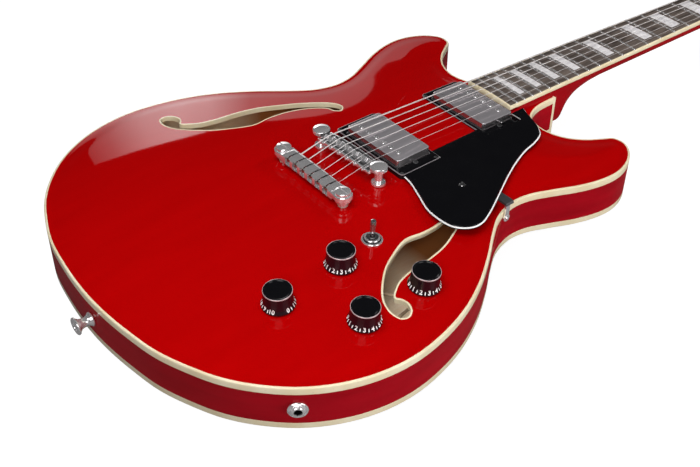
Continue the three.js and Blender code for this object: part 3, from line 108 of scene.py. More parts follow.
NECK = Matrix.Translation((BOARD_START, 0, 14.3)) @ Matrix.Rotation(NECK_ANGLE, 4, "Y")
HEAD = (NECK @ Matrix.Translation((BOARD_LENGTH + NUT_THICKNESS, 0, -BOARD_THICKNESS))
        @ Matrix.Rotation(HEAD_ANGLE, 4, "Y"))
POST_SPREAD, SLANT, TREBLE_POST_X = 74.0, 3.5, -3.7
BRIDGE = (Matrix.Translation((TREBLE_POST_X - SLANT / 2, 0, 0))
          @ Matrix.Rotation(math.atan2(SLANT, POST_SPREAD), 4, "Z"))
FLAT = Matrix.Identity(4)
print("nut at", [round(c, 1) for c in NECK @ Vector((BOARD_LENGTH, 0, 0))])

# %% [markdown]
# A photograph fixes one camera. This one was found by matching the frets, the bridge and the body's edge,
# which are all of known size, to where they show in the picture. Its tiny roll is kept.

# %% Camera
CAMERA_AT = Vector((-503.67, -604.15, 581.07))
CAMERA_LOOKS_AT = Vector((-56.44, -63.35, -2.3))
CAMERA_ROLL = math.radians(0.495)

camera_data = bpy.data.cameras.new("camera")
camera_data.lens = 56.86
camera_data.sensor_width = 36
camera = bpy.data.objects.new("camera", camera_data)
bpy.context.scene.collection.objects.link(camera)
looks_from = INTO_ROW @ CAMERA_AT
turn = (INTO_ROW @ CAMERA_LOOKS_AT - looks_from).to_track_quat("-Z", "Y").to_matrix().to_4x4()
camera.matrix_world = Matrix.Translation(looks_from) @ turn @ Matrix.Rotation(CAMERA_ROLL, 4, "Z")
bpy.context.scene.camera = camera
print("camera at", [round(c, 3) for c in looks_from])

# %% [markdown]
# Lacquer and chrome show whatever stands round them, so the studio matters as much as the paint. One long
# softbox stands beyond the bass side. Its mirror image is the pale sheet on the upper bout, brightest beside
# the f-hole. The lamps that light the colours hide from reflections, or the red would turn milky.

# %% Lamps
scene = bpy.context.scene
scene.view_settings.view_transform = "Standard"


def softbox(name, at, towards, size, watts):
    data = bpy.data.lights.new(name, "AREA")
    data.shape = "RECTANGLE"
    data.size, data.size_y = size
    data.energy = watts
    lamp = bpy.data.objects.new(name, data)
    scene.collection.objects.link(lamp)
    lamp.location = at
    lamp.rotation_euler = (Vector(towards) - Vector(at)).to_track_quat("-Z", "Y").to_euler()
    lamp.visible_glossy = False
    return lamp


softbox("overhead", (-0.5, -0.12, 0.7), (-0.5, -0.1, 0), (0.4, 0.4), 2.9)
softbox("beside_camera", (-1.0, -0.7, 0.8), (-0.45, -0.1, 0.1), (0.4, 0.4), 5.5)
softbox("over_neck", (0.25, -0.05, 0.5), (0.2, 0, 0), (0.3, 0.2), 1.1)
softbox("front", (0.75, -2.1, 0.08), (-0.1, 0, 0.05), (1.2, 0.1), 32)


def linked(tree, kind, **settings):
    node = tree.nodes.new(kind)
    for name, value in settings.items():
        if hasattr(node, name):
            setattr(node, name, value)
        else:
            node.inputs[name.replace("_", " ")].default_value = value
    return node


SHEET_LOW, SHEET_HIGH = Vector((0.07, 1.75, 0.06)), Vector((1.95, 1.75, 1.06))
SHEET_STRENGTH = 5.0
bpy.ops.object.select_all(action="DESELECT")
bpy.ops.mesh.primitive_plane_add(size=1)
sheet = bpy.context.object
sheet.name = "bass_side_softbox"
middle, size = (SHEET_LOW + SHEET_HIGH) / 2, SHEET_HIGH - SHEET_LOW
for vertex in sheet.data.vertices:
    vertex.co = (middle.x + size.x * vertex.co.x, middle.y, middle.z + size.z * vertex.co.y)
cloth = bpy.data.materials.new("softbox_cloth")
cloth.use_nodes = True
tree = cloth.node_tree
emission = linked(tree, "ShaderNodeEmission")
place = linked(tree, "ShaderNodeTexCoord")
split = linked(tree, "ShaderNodeSeparateXYZ")
along = linked(tree, "ShaderNodeMapRange", From_Min=SHEET_LOW.x, From_Max=1.75)
fade = linked(tree, "ShaderNodeValToRGB")
SHEET_BRIGHTNESS = [(0.0, 0.12), (0.06, 0.28), (0.16, 0.75), (0.25, 0.92), (0.33, 0.8), (0.38, 0.55),
                    (0.43, 0.3), (0.6, 0.18), (0.8, 0.12), (1.0, 0.08)]
for _ in SHEET_BRIGHTNESS[2:]:
    fade.color_ramp.elements.new(0.5)
for stop, (place_along, share) in zip(fade.color_ramp.elements, SHEET_BRIGHTNESS):
    stop.position = place_along
    stop.color = (share, share, share, 1)
strength = linked(tree, "ShaderNodeMath", operation="MULTIPLY")
strength.inputs[1].default_value = SHEET_STRENGTH
tree.links.new(place.outputs["Object"], split.inputs[0])
tree.links.new(split.outputs["X"], along.inputs["Value"])
tree.links.new(along.outputs["Result"], fade.inputs["Fac"])
tree.links.new(fade.outputs["Color"], strength.inputs[0])
tree.links.new(strength.outputs[0], emission.inputs["Strength"])
tree.links.new(emission.outputs[0], tree.nodes["Material Output"].inputs["Surface"])
sheet.data.materials.append(cloth)
sheet.visible_camera = sheet.visible_diffuse = False
sheet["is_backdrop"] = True

# %% [markdown]
# The room itself is white to the camera and dim to everything else. Chrome sees dark curtains with bright
# panels over and behind the camera, which is where its hard black and white comes from. None of the panels
# stands where the flat of the top would mirror it.

# %% Room
ROOM_LIGHT = 0.17
PANELS = [((-0.36, -0.36, 0.84), 0.94, 0.965, 4.0), ((-0.95, -0.45, 0.55), 0.93, 0.96, 3.5),
          ((0.25, -1.0, 0.45), 0.94, 0.965, 3.0)]
world = bpy.data.worlds.new("studio")
scene.world = world
world.use_nodes = True
sky = world.node_tree
backdrop = sky.nodes["Background"]
backdrop.inputs["Color"].default_value = (1, 1, 1, 1)
backdrop.inputs["Strength"].default_value = 1
path = linked(sky, "ShaderNodeLightPath")
seen = linked(sky, "ShaderNodeMath", operation="MAXIMUM")
sky.links.new(path.outputs["Is Camera Ray"], seen.inputs[0])
sky.links.new(path.outputs["Is Transmission Ray"], seen.inputs[1])
direction = linked(sky, "ShaderNodeTexCoord")
height = linked(sky, "ShaderNodeSeparateXYZ")
sky.links.new(direction.outputs["Generated"], height.inputs[0])


def lit_where(source, start, end, dark, bright):
    band = linked(sky, "ShaderNodeMapRange", From_Min=start, From_Max=end, To_Min=dark, To_Max=bright)
    sky.links.new(source, band.inputs["Value"])
    return band.outputs["Result"]


def panel(towards, start, end, bright):
    aim = linked(sky, "ShaderNodeVectorMath", operation="DOT_PRODUCT")
    aim.inputs[1].default_value = Vector(towards).normalized()
    sky.links.new(direction.outputs["Generated"], aim.inputs[0])
    return lit_where(aim.outputs["Value"], start, end, 0.0, bright)


glow_total = lit_where(height.outputs["Z"], 0.0, 0.45, 0.16, 0.02)
for towards, start, end, bright in PANELS:
    more = linked(sky, "ShaderNodeMath", operation="ADD")
    sky.links.new(glow_total, more.inputs[0])
    sky.links.new(panel(towards, start, end, bright), more.inputs[1])
    glow_total = more.outputs[0]
level = linked(sky, "ShaderNodeMix", data_type="FLOAT")
level.inputs["A"].default_value = ROOM_LIGHT
sky.links.new(path.outputs["Is Glossy Ray"], level.inputs["Factor"])
sky.links.new(glow_total, level.inputs["B"])
room = linked(sky, "ShaderNodeBackground")
sky.links.new(level.outputs["Result"], room.inputs["Strength"])
choice = linked(sky, "ShaderNodeMixShader")
sky.links.new(seen.outputs[0], choice.inputs["Fac"])
sky.links.new(room.outputs[0], choice.inputs[1])
sky.links.new(backdrop.outputs[0], choice.inputs[2])
sky.links.new(choice.outputs[0], sky.nodes["World Output"].inputs["Surface"])
print("room", world.name)

# %% [markdown]
# The floor is a plain pale sheet that the eye should not notice. Most of its white is its own, shown only to
# the camera, so it stays white under modest lamps and still keeps a soft shadow.

# %% Floor
FLOOR_GLOW = 0.96
bpy.ops.object.select_all(action="DESELECT")
bpy.ops.mesh.primitive_plane_add(size=9, location=(0, 0, -0.0005))
floor = bpy.context.object
floor.name = "floor"
floor_paint = bpy.data.materials.new("floor_white")
floor_paint.use_nodes = True
tree = floor_paint.node_tree
paint = tree.nodes["Principled BSDF"]
paint.inputs["Base Color"].default_value = (0.2, 0.2, 0.2, 1)
paint.inputs["Roughness"].default_value = 0.9
paint.inputs["Specular IOR Level"].default_value = 0.1
paint.inputs["Emission Color"].default_value = (1, 1, 1, 1)
glow = linked(tree, "ShaderNodeLightPath")
lift = linked(tree, "ShaderNodeMath", operation="MULTIPLY")
lift.inputs[1].default_value = FLOOR_GLOW
tree.links.new(glow.outputs["Is Camera Ray"], lift.inputs[0])
tree.links.new(lift.outputs[0], paint.inputs["Emission Strength"])
floor.data.materials.append(floor_paint)
floor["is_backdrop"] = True
print("floor", floor.dimensions[:])

# %% [markdown]
# Every finish below starts from one shader and is then broken up by noise: no real surface has a single
# colour or a single gloss. The helpers mix two tones, make the gloss uneven, raise a fine relief or paint
# shade over one stretch, all in the piece's own metres, so the pattern keeps its real size on every piece.

# %% Helpers for finishes
def finish(name, colour, roughness, metallic=0.0, **sockets):
    material = bpy.data.materials.new(name)
    material.use_nodes = True
    shader = material.node_tree.nodes["Principled BSDF"]
    shader.inputs["Base Color"].default_value = (*colour, 1)
    shader.inputs["Roughness"].default_value = roughness
    shader.inputs["Metallic"].default_value = metallic
    for socket, value in sockets.items():
        shader.inputs[socket.replace("_", " ")].default_value = value
    return material


def pattern(material, scale, stretch=(1, 1, 1), detail=4, lean=0.0):
    nodes, links = material.node_tree.nodes, material.node_tree.links
    coordinates = nodes.new("ShaderNodeTexCoord")
    mapping = nodes.new("ShaderNodeMapping")
    mapping.inputs["Scale"].default_value = stretch
    mapping.inputs["Rotation"].default_value = (0, 0, lean)
    noise = nodes.new("ShaderNodeTexNoise")
    noise.inputs["Scale"].default_value = scale
    noise.inputs["Detail"].default_value = detail
    links.new(coordinates.outputs["Object"], mapping.inputs["Vector"])
    links.new(mapping.outputs["Vector"], noise.inputs["Vector"])
    return noise.outputs["Fac"]


def two_tones(material, factor, dark, light, start=0.35, end=0.65):
    nodes, links = material.node_tree.nodes, material.node_tree.links
    ramp = nodes.new("ShaderNodeValToRGB")
    ramp.color_ramp.elements[0].position = start
    ramp.color_ramp.elements[1].position = end
    ramp.color_ramp.elements[0].color = (*dark, 1)
    ramp.color_ramp.elements[1].color = (*light, 1)
    links.new(factor, ramp.inputs["Fac"])
    links.new(ramp.outputs["Color"], nodes["Principled BSDF"].inputs["Base Color"])
    return ramp.outputs["Color"]


def uneven_gloss(material, factor, low, high):
    nodes, links = material.node_tree.nodes, material.node_tree.links
    spread = nodes.new("ShaderNodeMapRange")
    spread.inputs["From Min"].default_value = 0.3
    spread.inputs["From Max"].default_value = 0.7
    spread.inputs["To Min"].default_value = low
    spread.inputs["To Max"].default_value = high
    links.new(factor, spread.inputs["Value"])
    links.new(spread.outputs["Result"], nodes["Principled BSDF"].inputs["Roughness"])


def relief(material, factor, height, strength=1.0):
    nodes, links = material.node_tree.nodes, material.node_tree.links
    bump = nodes.new("ShaderNodeBump")
    bump.inputs["Distance"].default_value = height
    bump.inputs["Strength"].default_value = strength
    links.new(factor, bump.inputs["Height"])
    links.new(bump.outputs["Normal"], nodes["Principled BSDF"].inputs["Normal"])


def darker_toward(material, tones, start, end, dark):
    """Between two places along the body, in metres, the tones give way to a dark one: a painted shade."""
    tree = material.node_tree
    place = linked(tree, "ShaderNodeTexCoord")
    apart = linked(tree, "ShaderNodeSeparateXYZ")
    share = linked(tree, "ShaderNodeMapRange", From_Min=start, From_Max=end)
    both = linked(tree, "ShaderNodeMix", data_type="RGBA")
    light_tone, dark_tone, mixed = both.inputs[6], both.inputs[7], both.outputs[2]
    dark_tone.default_value = (*dark, 1)
    tree.links.new(place.outputs["Object"], apart.inputs[0])
    tree.links.new(apart.outputs["X"], share.inputs["Value"])
    tree.links.new(share.outputs["Result"], both.inputs["Factor"])
    tree.links.new(tones, light_tone)
    tree.links.new(mixed, tree.nodes["Principled BSDF"].inputs["Base Color"])


print("finish helpers ready")

# %% [markdown]
# Transparent red lacquer over maple: the wood is only just visible through it as long, soft streaks along the
# body, and the clear coat above is mirror smooth. The top catches more light than the sides, so the sides,
# the back and the neck get a deeper, slightly bluer red: the same lacquer with painted shade.

# %% Lacquers
LACQUER = dict(Coat_Weight=0.6, Coat_Roughness=0.03, Coat_IOR=1.5, Specular_IOR_Level=0.0)
red_top = finish("red_top", (0.42, 0.0002, 0.0006), 0.4, **LACQUER)
streaks = pattern(red_top, 11, stretch=(1, 5, 1), detail=4)
two_tones(red_top, streaks, (0.40, 0.0001, 0.0005), (0.44, 0.0004, 0.0008), 0.25, 0.75)
uneven_gloss(red_top, pattern(red_top, 30), 0.36, 0.44)

SIDE_LACQUER = dict(LACQUER, Coat_Weight=0.3)
# Painted shade: the sides and the back get a darker red than the top.
red_sides = finish("red_sides", (0.34, 0.002, 0.008), 0.4, **SIDE_LACQUER)
two_tones(red_sides, pattern(red_sides, 14, stretch=(1, 1, 6), detail=4), (0.29, 0.001, 0.006),
          (0.38, 0.002, 0.009), 0.3, 0.7)
uneven_gloss(red_sides, pattern(red_sides, 40), 0.36, 0.44)

# Painted shade: the neck gets the same darker red as the sides.
red_neck = finish("red_neck", (0.34, 0.001, 0.005), 0.4, **SIDE_LACQUER)
two_tones(red_neck, pattern(red_neck, 14, stretch=(1, 7, 7), detail=4), (0.30, 0.001, 0.004),
          (0.38, 0.002, 0.006), 0.3, 0.7)
print("lacquers", red_top.name, red_sides.name, red_neck.name)

# %% [markdown]
# Through the f-holes one sees bare plywood and maple, matt and tan, with fine growth lines, and a painted
# shade towards the neck, where the pickguard shades the wood. The cream binding is celluloid: it has almost
# no pattern, only a faint yellowing, and it is polished with the lacquer.

# %% Bare wood, binding and bone
SHADE_START, SHADE_END, SHADED_MAPLE = -0.290, -0.258, (0.39, 0.14, 0.042)
bare_maple = finish("bare_maple", (0.97, 0.78, 0.56), 0.7)
growth = pattern(bare_maple, 60, stretch=(1, 14, 14), detail=6)
maple_tones = two_tones(bare_maple, growth, (0.96, 0.74, 0.51), (1.0, 0.85, 0.64), 0.3, 0.7)
relief(bare_maple, growth, 0.0002, 0.4)
# Painted shade: the bare wood turns dark brown towards the neck, under the pickguard.
darker_toward(bare_maple, maple_tones, SHADE_START, SHADE_END, SHADED_MAPLE)

cream_binding = finish("cream_binding", (0.86, 0.74, 0.50), 0.3, Coat_Weight=0.4, Coat_Roughness=0.08)
two_tones(cream_binding, pattern(cream_binding, 45, detail=3), (0.80, 0.66, 0.42), (0.90, 0.80, 0.58), 0.3,
          0.7)
uneven_gloss(cream_binding, pattern(cream_binding, 300), 0.26, 0.38)

bone = finish("bone", (0.80, 0.76, 0.64), 0.38)
two_tones(bone, pattern(bone, 500, stretch=(1, 1, 4)), (0.72, 0.66, 0.52), (0.86, 0.82, 0.72), 0.35, 0.65)
print("woods and bindings", bare_maple.name, cream_binding.name, bone.name)

# %% [markdown]
# The board is dark rosewood: short pores that run along the grain, brown on near black, hardly any gloss. The
# inlays are pearl, which is cloudy in bands and glossy. Frets are nickel silver, a touch yellower than
# chrome.

# %% Board, pearl and fret wire
dark_board = finish("dark_board", (0.10, 0.075, 0.06), 0.5)
pores = pattern(dark_board, 260, stretch=(0.09, 1, 1), detail=7)
two_tones(dark_board, pores, (0.045, 0.033, 0.028), (0.155, 0.120, 0.100), 0.36, 0.64)
relief(dark_board, pores, 0.0002, 0.5)
uneven_gloss(dark_board, pores, 0.6, 0.38)

pearl = finish("pearl", (0.72, 0.71, 0.70), 0.16, Coat_Weight=0.6, Coat_Roughness=0.05)
two_tones(pearl, pattern(pearl, 140, stretch=(1, 2.6, 1), detail=5), (0.72, 0.69, 0.71), (0.95, 0.92, 0.92),
          0.34, 0.66)

fret_wire = finish("fret_wire", (0.88, 0.85, 0.84), 0.2, 0.75)
uneven_gloss(fret_wire, pattern(fret_wire, 900, stretch=(1, 0.2, 1)), 0.12, 0.22)
print("board finishes", dark_board.name, pearl.name, fret_wire.name)

# %% [markdown]
# Chrome is bright but never perfect: polishing leaves it a shade uneven. Plain strings are bright steel and
# wound ones are ribbed nickel, whose ribs are too fine to model, so a wave across the string's length does
# it.

# %% Metals
chrome = finish("chrome", (0.93, 0.91, 0.92), 0.05, 0.78)
uneven_gloss(chrome, pattern(chrome, 240, detail=5), 0.03, 0.09)

# Chrome painted darker: painted shade in hollows and painted dark reflections on upright faces, the switch
# lever and screw heads.
shaded_chrome = finish("shaded_chrome", (0.40, 0.38, 0.39), 0.1, 0.9)
uneven_gloss(shaded_chrome, pattern(shaded_chrome, 240, detail=5), 0.06, 0.16)

cover_plate = finish("cover_plate", (0.70, 0.66, 0.69), 0.16, 0.72)
uneven_gloss(cover_plate, pattern(cover_plate, 60, detail=3), 0.12, 0.17)

control_metal = finish("control_metal", (0.58, 0.57, 0.55), 0.3, 1.0)
uneven_gloss(control_metal, pattern(control_metal, 400), 0.22, 0.42)

ball_metal = finish("ball_metal", (0.55, 0.50, 0.42), 0.28, 1.0)
uneven_gloss(ball_metal, pattern(ball_metal, 700), 0.2, 0.36)

plain_steel = finish("string_plain", (0.90, 0.85, 0.85), 0.3, 0.35)
uneven_gloss(plain_steel, pattern(plain_steel, 900, stretch=(0.1, 1, 1)), 0.16, 0.3)


def ribbed(name, spacing):
    wound = finish(name, (0.88, 0.83, 0.82), 0.32, 0.35)
    nodes, links = wound.node_tree.nodes, wound.node_tree.links
    coordinates = nodes.new("ShaderNodeTexCoord")
    ribs = nodes.new("ShaderNodeTexWave")
    ribs.inputs["Scale"].default_value = math.pi / 10 / spacing * 1000
    links.new(coordinates.outputs["Object"], ribs.inputs["Vector"])
    relief(wound, ribs.outputs["Fac"], 0.0001, 0.7)
    uneven_gloss(wound, pattern(wound, 500), 0.26, 0.4)
    return wound


wound_steel = ribbed("string_wound", 0.3)
print("metals", chrome.name, control_metal.name, plain_steel.name, wound_steel.name)

# %% [markdown]
# The plastics are the same glossy black, but a pickguard is flat sheet with a white layer inside, and knobs
# are moulded in plum with white figures. Dust and handling show as slightly duller patches. The top edges of
# the pickup rings get a paler grey and the knobs a pale ring round the top, both painted highlights. The dark
# metal of the blackened screws, also painted as shade in hollows, and the wires' cloth are mixed here too.

# %% Plastics and small finishes
black_plastic = finish("black_plastic", (0.004, 0.004, 0.005), 0.16, Specular_IOR_Level=0.3)
uneven_gloss(black_plastic, pattern(black_plastic, 55), 0.12, 0.2)

# A painted highlight for the top edges of the pickup rings.
ring_edge_highlight = finish("ring_edge_highlight", (0.22, 0.20, 0.21), 0.25)
uneven_gloss(ring_edge_highlight, pattern(ring_edge_highlight, 300), 0.2, 0.32)

white_layer = finish("white_layer", (0.84, 0.84, 0.84), 0.35)
uneven_gloss(white_layer, pattern(white_layer, 200), 0.3, 0.42)

knob_plastic = finish("knob_plastic", (0.016, 0.005, 0.008), 0.14, Specular_IOR_Level=0.4)
uneven_gloss(knob_plastic, pattern(knob_plastic, 120), 0.08, 0.16)

# A painted highlight for the pale ring round each knob's top edge.
rim_highlight_paint = finish("rim_highlight_paint", (0.55, 0.46, 0.47), 0.3, 0.3)
uneven_gloss(rim_highlight_paint, pattern(rim_highlight_paint, 500), 0.22, 0.36)

figure_white = finish("figure_white", (0.95, 0.94, 0.93), 0.5)
uneven_gloss(figure_white, pattern(figure_white, 900), 0.4, 0.6)

# Dark metal for blackened screws, also painted as shade in hollows and under the pickguard.
black_metal = finish("black_metal", (0.16, 0.16, 0.165), 0.35, 0.8)
uneven_gloss(black_metal, pattern(black_metal, 300), 0.26, 0.46)

wire_cloth = finish("wire_cloth", (0.42, 0.31, 0.21), 0.75)
uneven_gloss(wire_cloth, pattern(wire_cloth, 2000), 0.6, 0.85)
print("plastics", black_plastic.name, white_layer.name, knob_plastic.name, "and", wire_cloth.name)

# %% [markdown]
# Most pieces here are one of four shapes: a skin drawn over a row of outlines, a turned shape, a block, or
# one of these with another cut out of it. By hand each starts as a circle or cube that is extruded again and
# again, with the new edge loop moved to its place. The helpers do exactly that with the same operators.

# %% Helpers for shapes
def deselected():
    bpy.ops.object.select_all(action="DESELECT")


def only(piece):
    deselected()
    piece.select_set(True)
    bpy.context.view_layer.objects.active = piece
    return piece


def skinned(outlines, ends="capped"):
    """Extrudes a first outline through the others. Joined ends close it into a ring."""
    deselected()
    capped = ends == "capped"
    bpy.ops.mesh.primitive_circle_add(vertices=len(outlines[0]), fill_type="NGON" if capped else "NOTHING")
    piece = bpy.context.object
    for vertex, point in zip(piece.data.vertices, outlines[0]):
        vertex.co = point
    places = {vertex.co.to_tuple(5): vertex.index for vertex in piece.data.vertices}
    bpy.ops.object.mode_set(mode="EDIT")
    bpy.ops.mesh.select_all(action="SELECT")
    for outline in [*outlines[1:], *([outlines[0]] if ends == "joined" else [])]:
        bpy.ops.mesh.extrude_region_move()
        fresh = [v for v in bmesh.from_edit_mesh(piece.data).verts if v.select]
        moved = [(v, places[v.co.to_tuple(5)]) for v in fresh]
        for vertex, number in moved:
            vertex.co = outline[number]
        places = {vertex.co.to_tuple(5): number for vertex, number in moved}
    bpy.ops.mesh.select_all(action="SELECT")
    if ends == "joined":
        bpy.ops.mesh.remove_doubles(threshold=1e-4)
    bpy.ops.mesh.normals_make_consistent(inside=False)
    bpy.ops.object.mode_set(mode="OBJECT")
    return piece


def circle(radius, z, sides, x=0.0, y=0.0):
    turns = [2 * math.pi * (k + 0.5) / sides for k in range(sides)]
    return [Vector((x + radius * math.cos(a), y + radius * math.sin(a), z)) for a in turns]


def turned(profile, sides=32, x=0.0, y=0.0):
    """A lathe piece about Z. The profile is pairs of radius and height."""
    return skinned([circle(max(radius, 0.02), z, sides, x, y) for radius, z in profile])


def block(low, high):
    deselected()
    bpy.ops.mesh.primitive_cube_add(size=1)
    piece = bpy.context.object
    low, high = Vector(low), Vector(high)
    for vertex in piece.data.vertices:
        vertex.co = [(a + b) / 2 + (b - a) * c for a, b, c in zip(low, high, vertex.co)]
    return piece


def softened(piece, width, segments=2, angle=32):
    only(piece)
    edge = piece.modifiers.new("edge", "BEVEL")
    edge.width, edge.segments, edge.limit_method = width, segments, "ANGLE"
    edge.angle_limit = math.radians(angle)
    bpy.ops.object.modifier_apply(modifier=edge.name)
    return piece


def combined(work, *tools, how="DIFFERENCE"):
    for tool in tools:
        only(work)
        change = work.modifiers.new("change", "BOOLEAN")
        change.operation, change.object, change.solver = how, tool, "EXACT"
        bpy.ops.object.modifier_apply(modifier=change.name)
        bpy.data.objects.remove(tool)
    return work


def placed(piece, *matrices):
    for matrix in matrices:
        piece.data.transform(matrix)
    return piece


# A piece turned about Z lies along X or Y after one of these.
ALONG_X, ALONG_MINUS_X = Matrix.Rotation(math.pi / 2, 4, "Y"), Matrix.Rotation(-math.pi / 2, 4, "Y")
ALONG_Y, ALONG_MINUS_Y = Matrix.Rotation(-math.pi / 2, 4, "X"), Matrix.Rotation(math.pi / 2, 4, "X")


def gathered(*pieces):
    deselected()
    for piece in pieces:
        piece.select_set(True)
    bpy.context.view_layer.objects.active = pieces[0]
    if len(pieces) > 1:
        bpy.ops.object.join()
    return pieces[0]


def twin(piece):
    copy = piece.copy()
    copy.data = piece.data.copy()
    scene.collection.objects.link(copy)
    return copy


def painted(piece, *materials, chooser=None):
    piece.data.materials.clear()
    for material in materials:
        piece.data.materials.append(material)
    if chooser:
        faces = piece.data.polygons
        centres, normals = np.empty(len(faces) * 3), np.empty(len(faces) * 3)
        faces.foreach_get("center", centres)
        faces.foreach_get("normal", normals)
        chosen = chooser(centres.reshape(-1, 3), normals.reshape(-1, 3))
        faces.foreach_set("material_index", np.asarray(chosen, np.int32))
    return piece


def ready(piece, name, body, slot, *nodes, bench=FLAT, smooth=30):
    """Puts a finished piece in its place in the scene and hangs it on its body."""
    piece.name = piece.data.name = name
    placed(piece, INTO_ROW @ bench)
    only(piece)
    bpy.ops.object.shade_smooth_by_angle(angle=math.radians(smooth))
    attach(piece, body)
    if nodes:
        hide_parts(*nodes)
    return piece


def kept(node, material):
    piece = bpy.data.objects[node]
    piece.data.materials.clear()
    piece.data.materials.append(material)


print("shape helpers ready")

# %% [markdown]
# An outline drawn by hand is a few dozen marks joined by a springy batten. The centripetal curve does the
# same job: it passes through every mark and does not overshoot. The marks of the body are shares of its
# length and half its width, so one side serves for both.

# %% Body outline
def through(marks, steps, closed=False):
    marks = [np.array(mark, float) for mark in marks]
    count = len(marks)
    spans = count if closed else count - 1
    found = []
    for step in range(steps + (0 if closed else 1)):
        at = step * spans / steps
        i = min(int(at), spans - 1)
        t = at - i
        if closed:
            a, b, c, d = (marks[(i + k) % count] for k in (-1, 0, 1, 2))
        else:
            b, c = marks[i], marks[i + 1]
            a = marks[i - 1] if i else 2 * b - c
            d = marks[i + 2] if i + 2 < count else 2 * c - b
        gaps = [max(np.linalg.norm(q - p), 1e-9) ** 0.5 for p, q in ((a, b), (b, c), (c, d))]
        leave = ((b - a) / gaps[0] - (c - a) / (gaps[0] + gaps[1]) + (c - b) / gaps[1]) * gaps[1]
        arrive = ((c - b) / gaps[1] - (d - b) / (gaps[1] + gaps[2]) + (d - c) / gaps[2]) * gaps[1]
        found.append(b + leave * t + (3 * (c - b) - 2 * leave - arrive) * t ** 2
                     + (2 * (b - c) + leave + arrive) * t ** 3)
    return np.array(found)


TREBLE_SHARES = [
    (0.002, 0.118), (0.008, 0.245), (0.019, 0.392), (0.039, 0.525), (0.065, 0.652), (0.101, 0.765),
    (0.148, 0.868), (0.204, 0.944), (0.262, 0.987), (0.322, 1.000), (0.384, 0.982), (0.446, 0.940),
    (0.508, 0.870), (0.570, 0.772), (0.615, 0.689), (0.657, 0.623), (0.702, 0.593), (0.741, 0.602),
    (0.783, 0.642), (0.834, 0.696), (0.882, 0.727), (0.921, 0.730), (0.958, 0.704), (0.985, 0.659),
    (1.000, 0.601), (0.996, 0.542), (0.976, 0.510), (0.950, 0.468), (0.926, 0.402), (0.914, 0.319),
    (0.916, 0.250), (0.927, 0.194), (0.948, 0.165), (0.970, 0.152),
]
treble_marks = [(a * BODY_LENGTH - BUTT_TO_BRIDGE, -b * BODY_WIDTH / 2) for a, b in TREBLE_SHARES]
treble_marks.append((BRIDGE_TO_JOINT, -JOINT_WIDTH / 2))
bass_marks = [(x, -y) for x, y in reversed(treble_marks)]
outline = through([*bass_marks, (-BUTT_TO_BRIDGE, 0), *treble_marks], 276)


def inset(loop, distance):
    before, after = np.roll(loop, 1, 0), np.roll(loop, -1, 0)

    def inward(start, end):
        step = end - start
        side = np.stack([-step[:, 1], step[:, 0]], 1)
        return side / np.linalg.norm(side, axis=1)[:, None]

    first, second = inward(before, loop), inward(loop, after)
    miter = (first + second) / (1 + (first * second).sum(1))[:, None]
    return loop + miter * distance


print("outline points", len(outline), "size", np.ptp(outline, 0).round(1))

# %% [markdown]
# The top is pressed into a shallow arch: nearly flat along the edge, then rising to 9 mm. Real plates are
# measured by how far a place is from the edge, and so is this one, which keeps the arch true round the waist
# and into the horns.

# %% The arch
def edge_distance(points):
    runs = np.roll(outline, -1, 0) - outline
    least = np.full(len(points), np.inf)
    for start, run in zip(outline, runs):
        along = np.clip(((points - start) @ run) / (run @ run), 0, 1)
        least = np.minimum(least, np.linalg.norm(points - start - along[:, None] * run, axis=1))
    return least


def arch_share(points):
    distance = edge_distance(np.atleast_2d(np.array(points, float)))
    run = np.minimum(distance / ARCH_REACH, 1)
    ease = np.clip(distance / ARCH_EASE, 0, 1)
    return (1 - (1 - run) ** 2) * ease ** 2 * (3 - 2 * ease)


def top_at(x, y):
    return float(TOP_ARCH * arch_share([(x, y)])[0])


def arched(loop, height, shares):
    """Copies of a loop that shrink towards the middle of the body, each lifted to the arch."""
    rings = []
    for share in shares:
        ring = loop * share
        rings.append([Vector((x, y, z)) for (x, y), z in zip(ring, height(arch_share(ring)))])
    return rings


FINE_SHARES = [1, 0.99, 0.98, 0.97, 0.96, 0.95, 0.94, 0.925, 0.91, 0.89, 0.87, 0.85, 0.82, 0.79, 0.76, 0.72,
               0.68, 0.63, 0.58, 0.52, 0.46, 0.4, 0.33, 0.26, 0.18, 0.1, 0.02]
COARSE_SHARES = [1, 0.97, 0.94, 0.9, 0.84, 0.76, 0.66, 0.54, 0.4, 0.24, 0.02]
plate_loop = inset(outline, BINDING_WIDTH)


def plate(upper, upper_shares, lower, lower_shares):
    under = arched(plate_loop, lower, lower_shares)
    over = arched(plate_loop, upper, upper_shares)
    return skinned([*reversed(under), *over])


print("arch over the bridge", round(top_at(0, 0), 2), "mm")

# %% [markdown]
# The f-holes are long slots with a curl at either end and a nib halfway. Each is cut through the top with a
# plug of its outline, as a router follows a template, and edged inside with a thin cream strip.

# %% F-hole outlines
F_HOLE_LENGTH, F_HOLE_WIDTH = 145.0, 94.0
F_HOLE_MIDDLE = (0.5027 * BODY_LENGTH - BUTT_TO_BRIDGE, 0.5956 * BODY_WIDTH / 2)
F_HOLE_SHARES = [
    (-0.431, 0.315), (-0.392, 0.257), (-0.333, 0.204), (-0.231, 0.163), (-0.086, 0.140), (0.059, 0.090),
    (0.193, 0.000), (0.321, -0.105), (0.438, -0.239), (0.497, -0.351), (0.500, -0.441), (0.459, -0.500),
    (0.421, -0.457), (0.403, -0.367), (0.307, -0.250), (0.169, -0.178), (0.038, -0.163), (-0.086, -0.180),
    (-0.236, -0.086), (-0.347, 0.017), (-0.470, 0.201), (-0.514, 0.309), (-0.530, 0.428), (-0.512, 0.520),
    (-0.468, 0.545), (-0.422, 0.503), (-0.400, 0.420), (-0.413, 0.350),
]


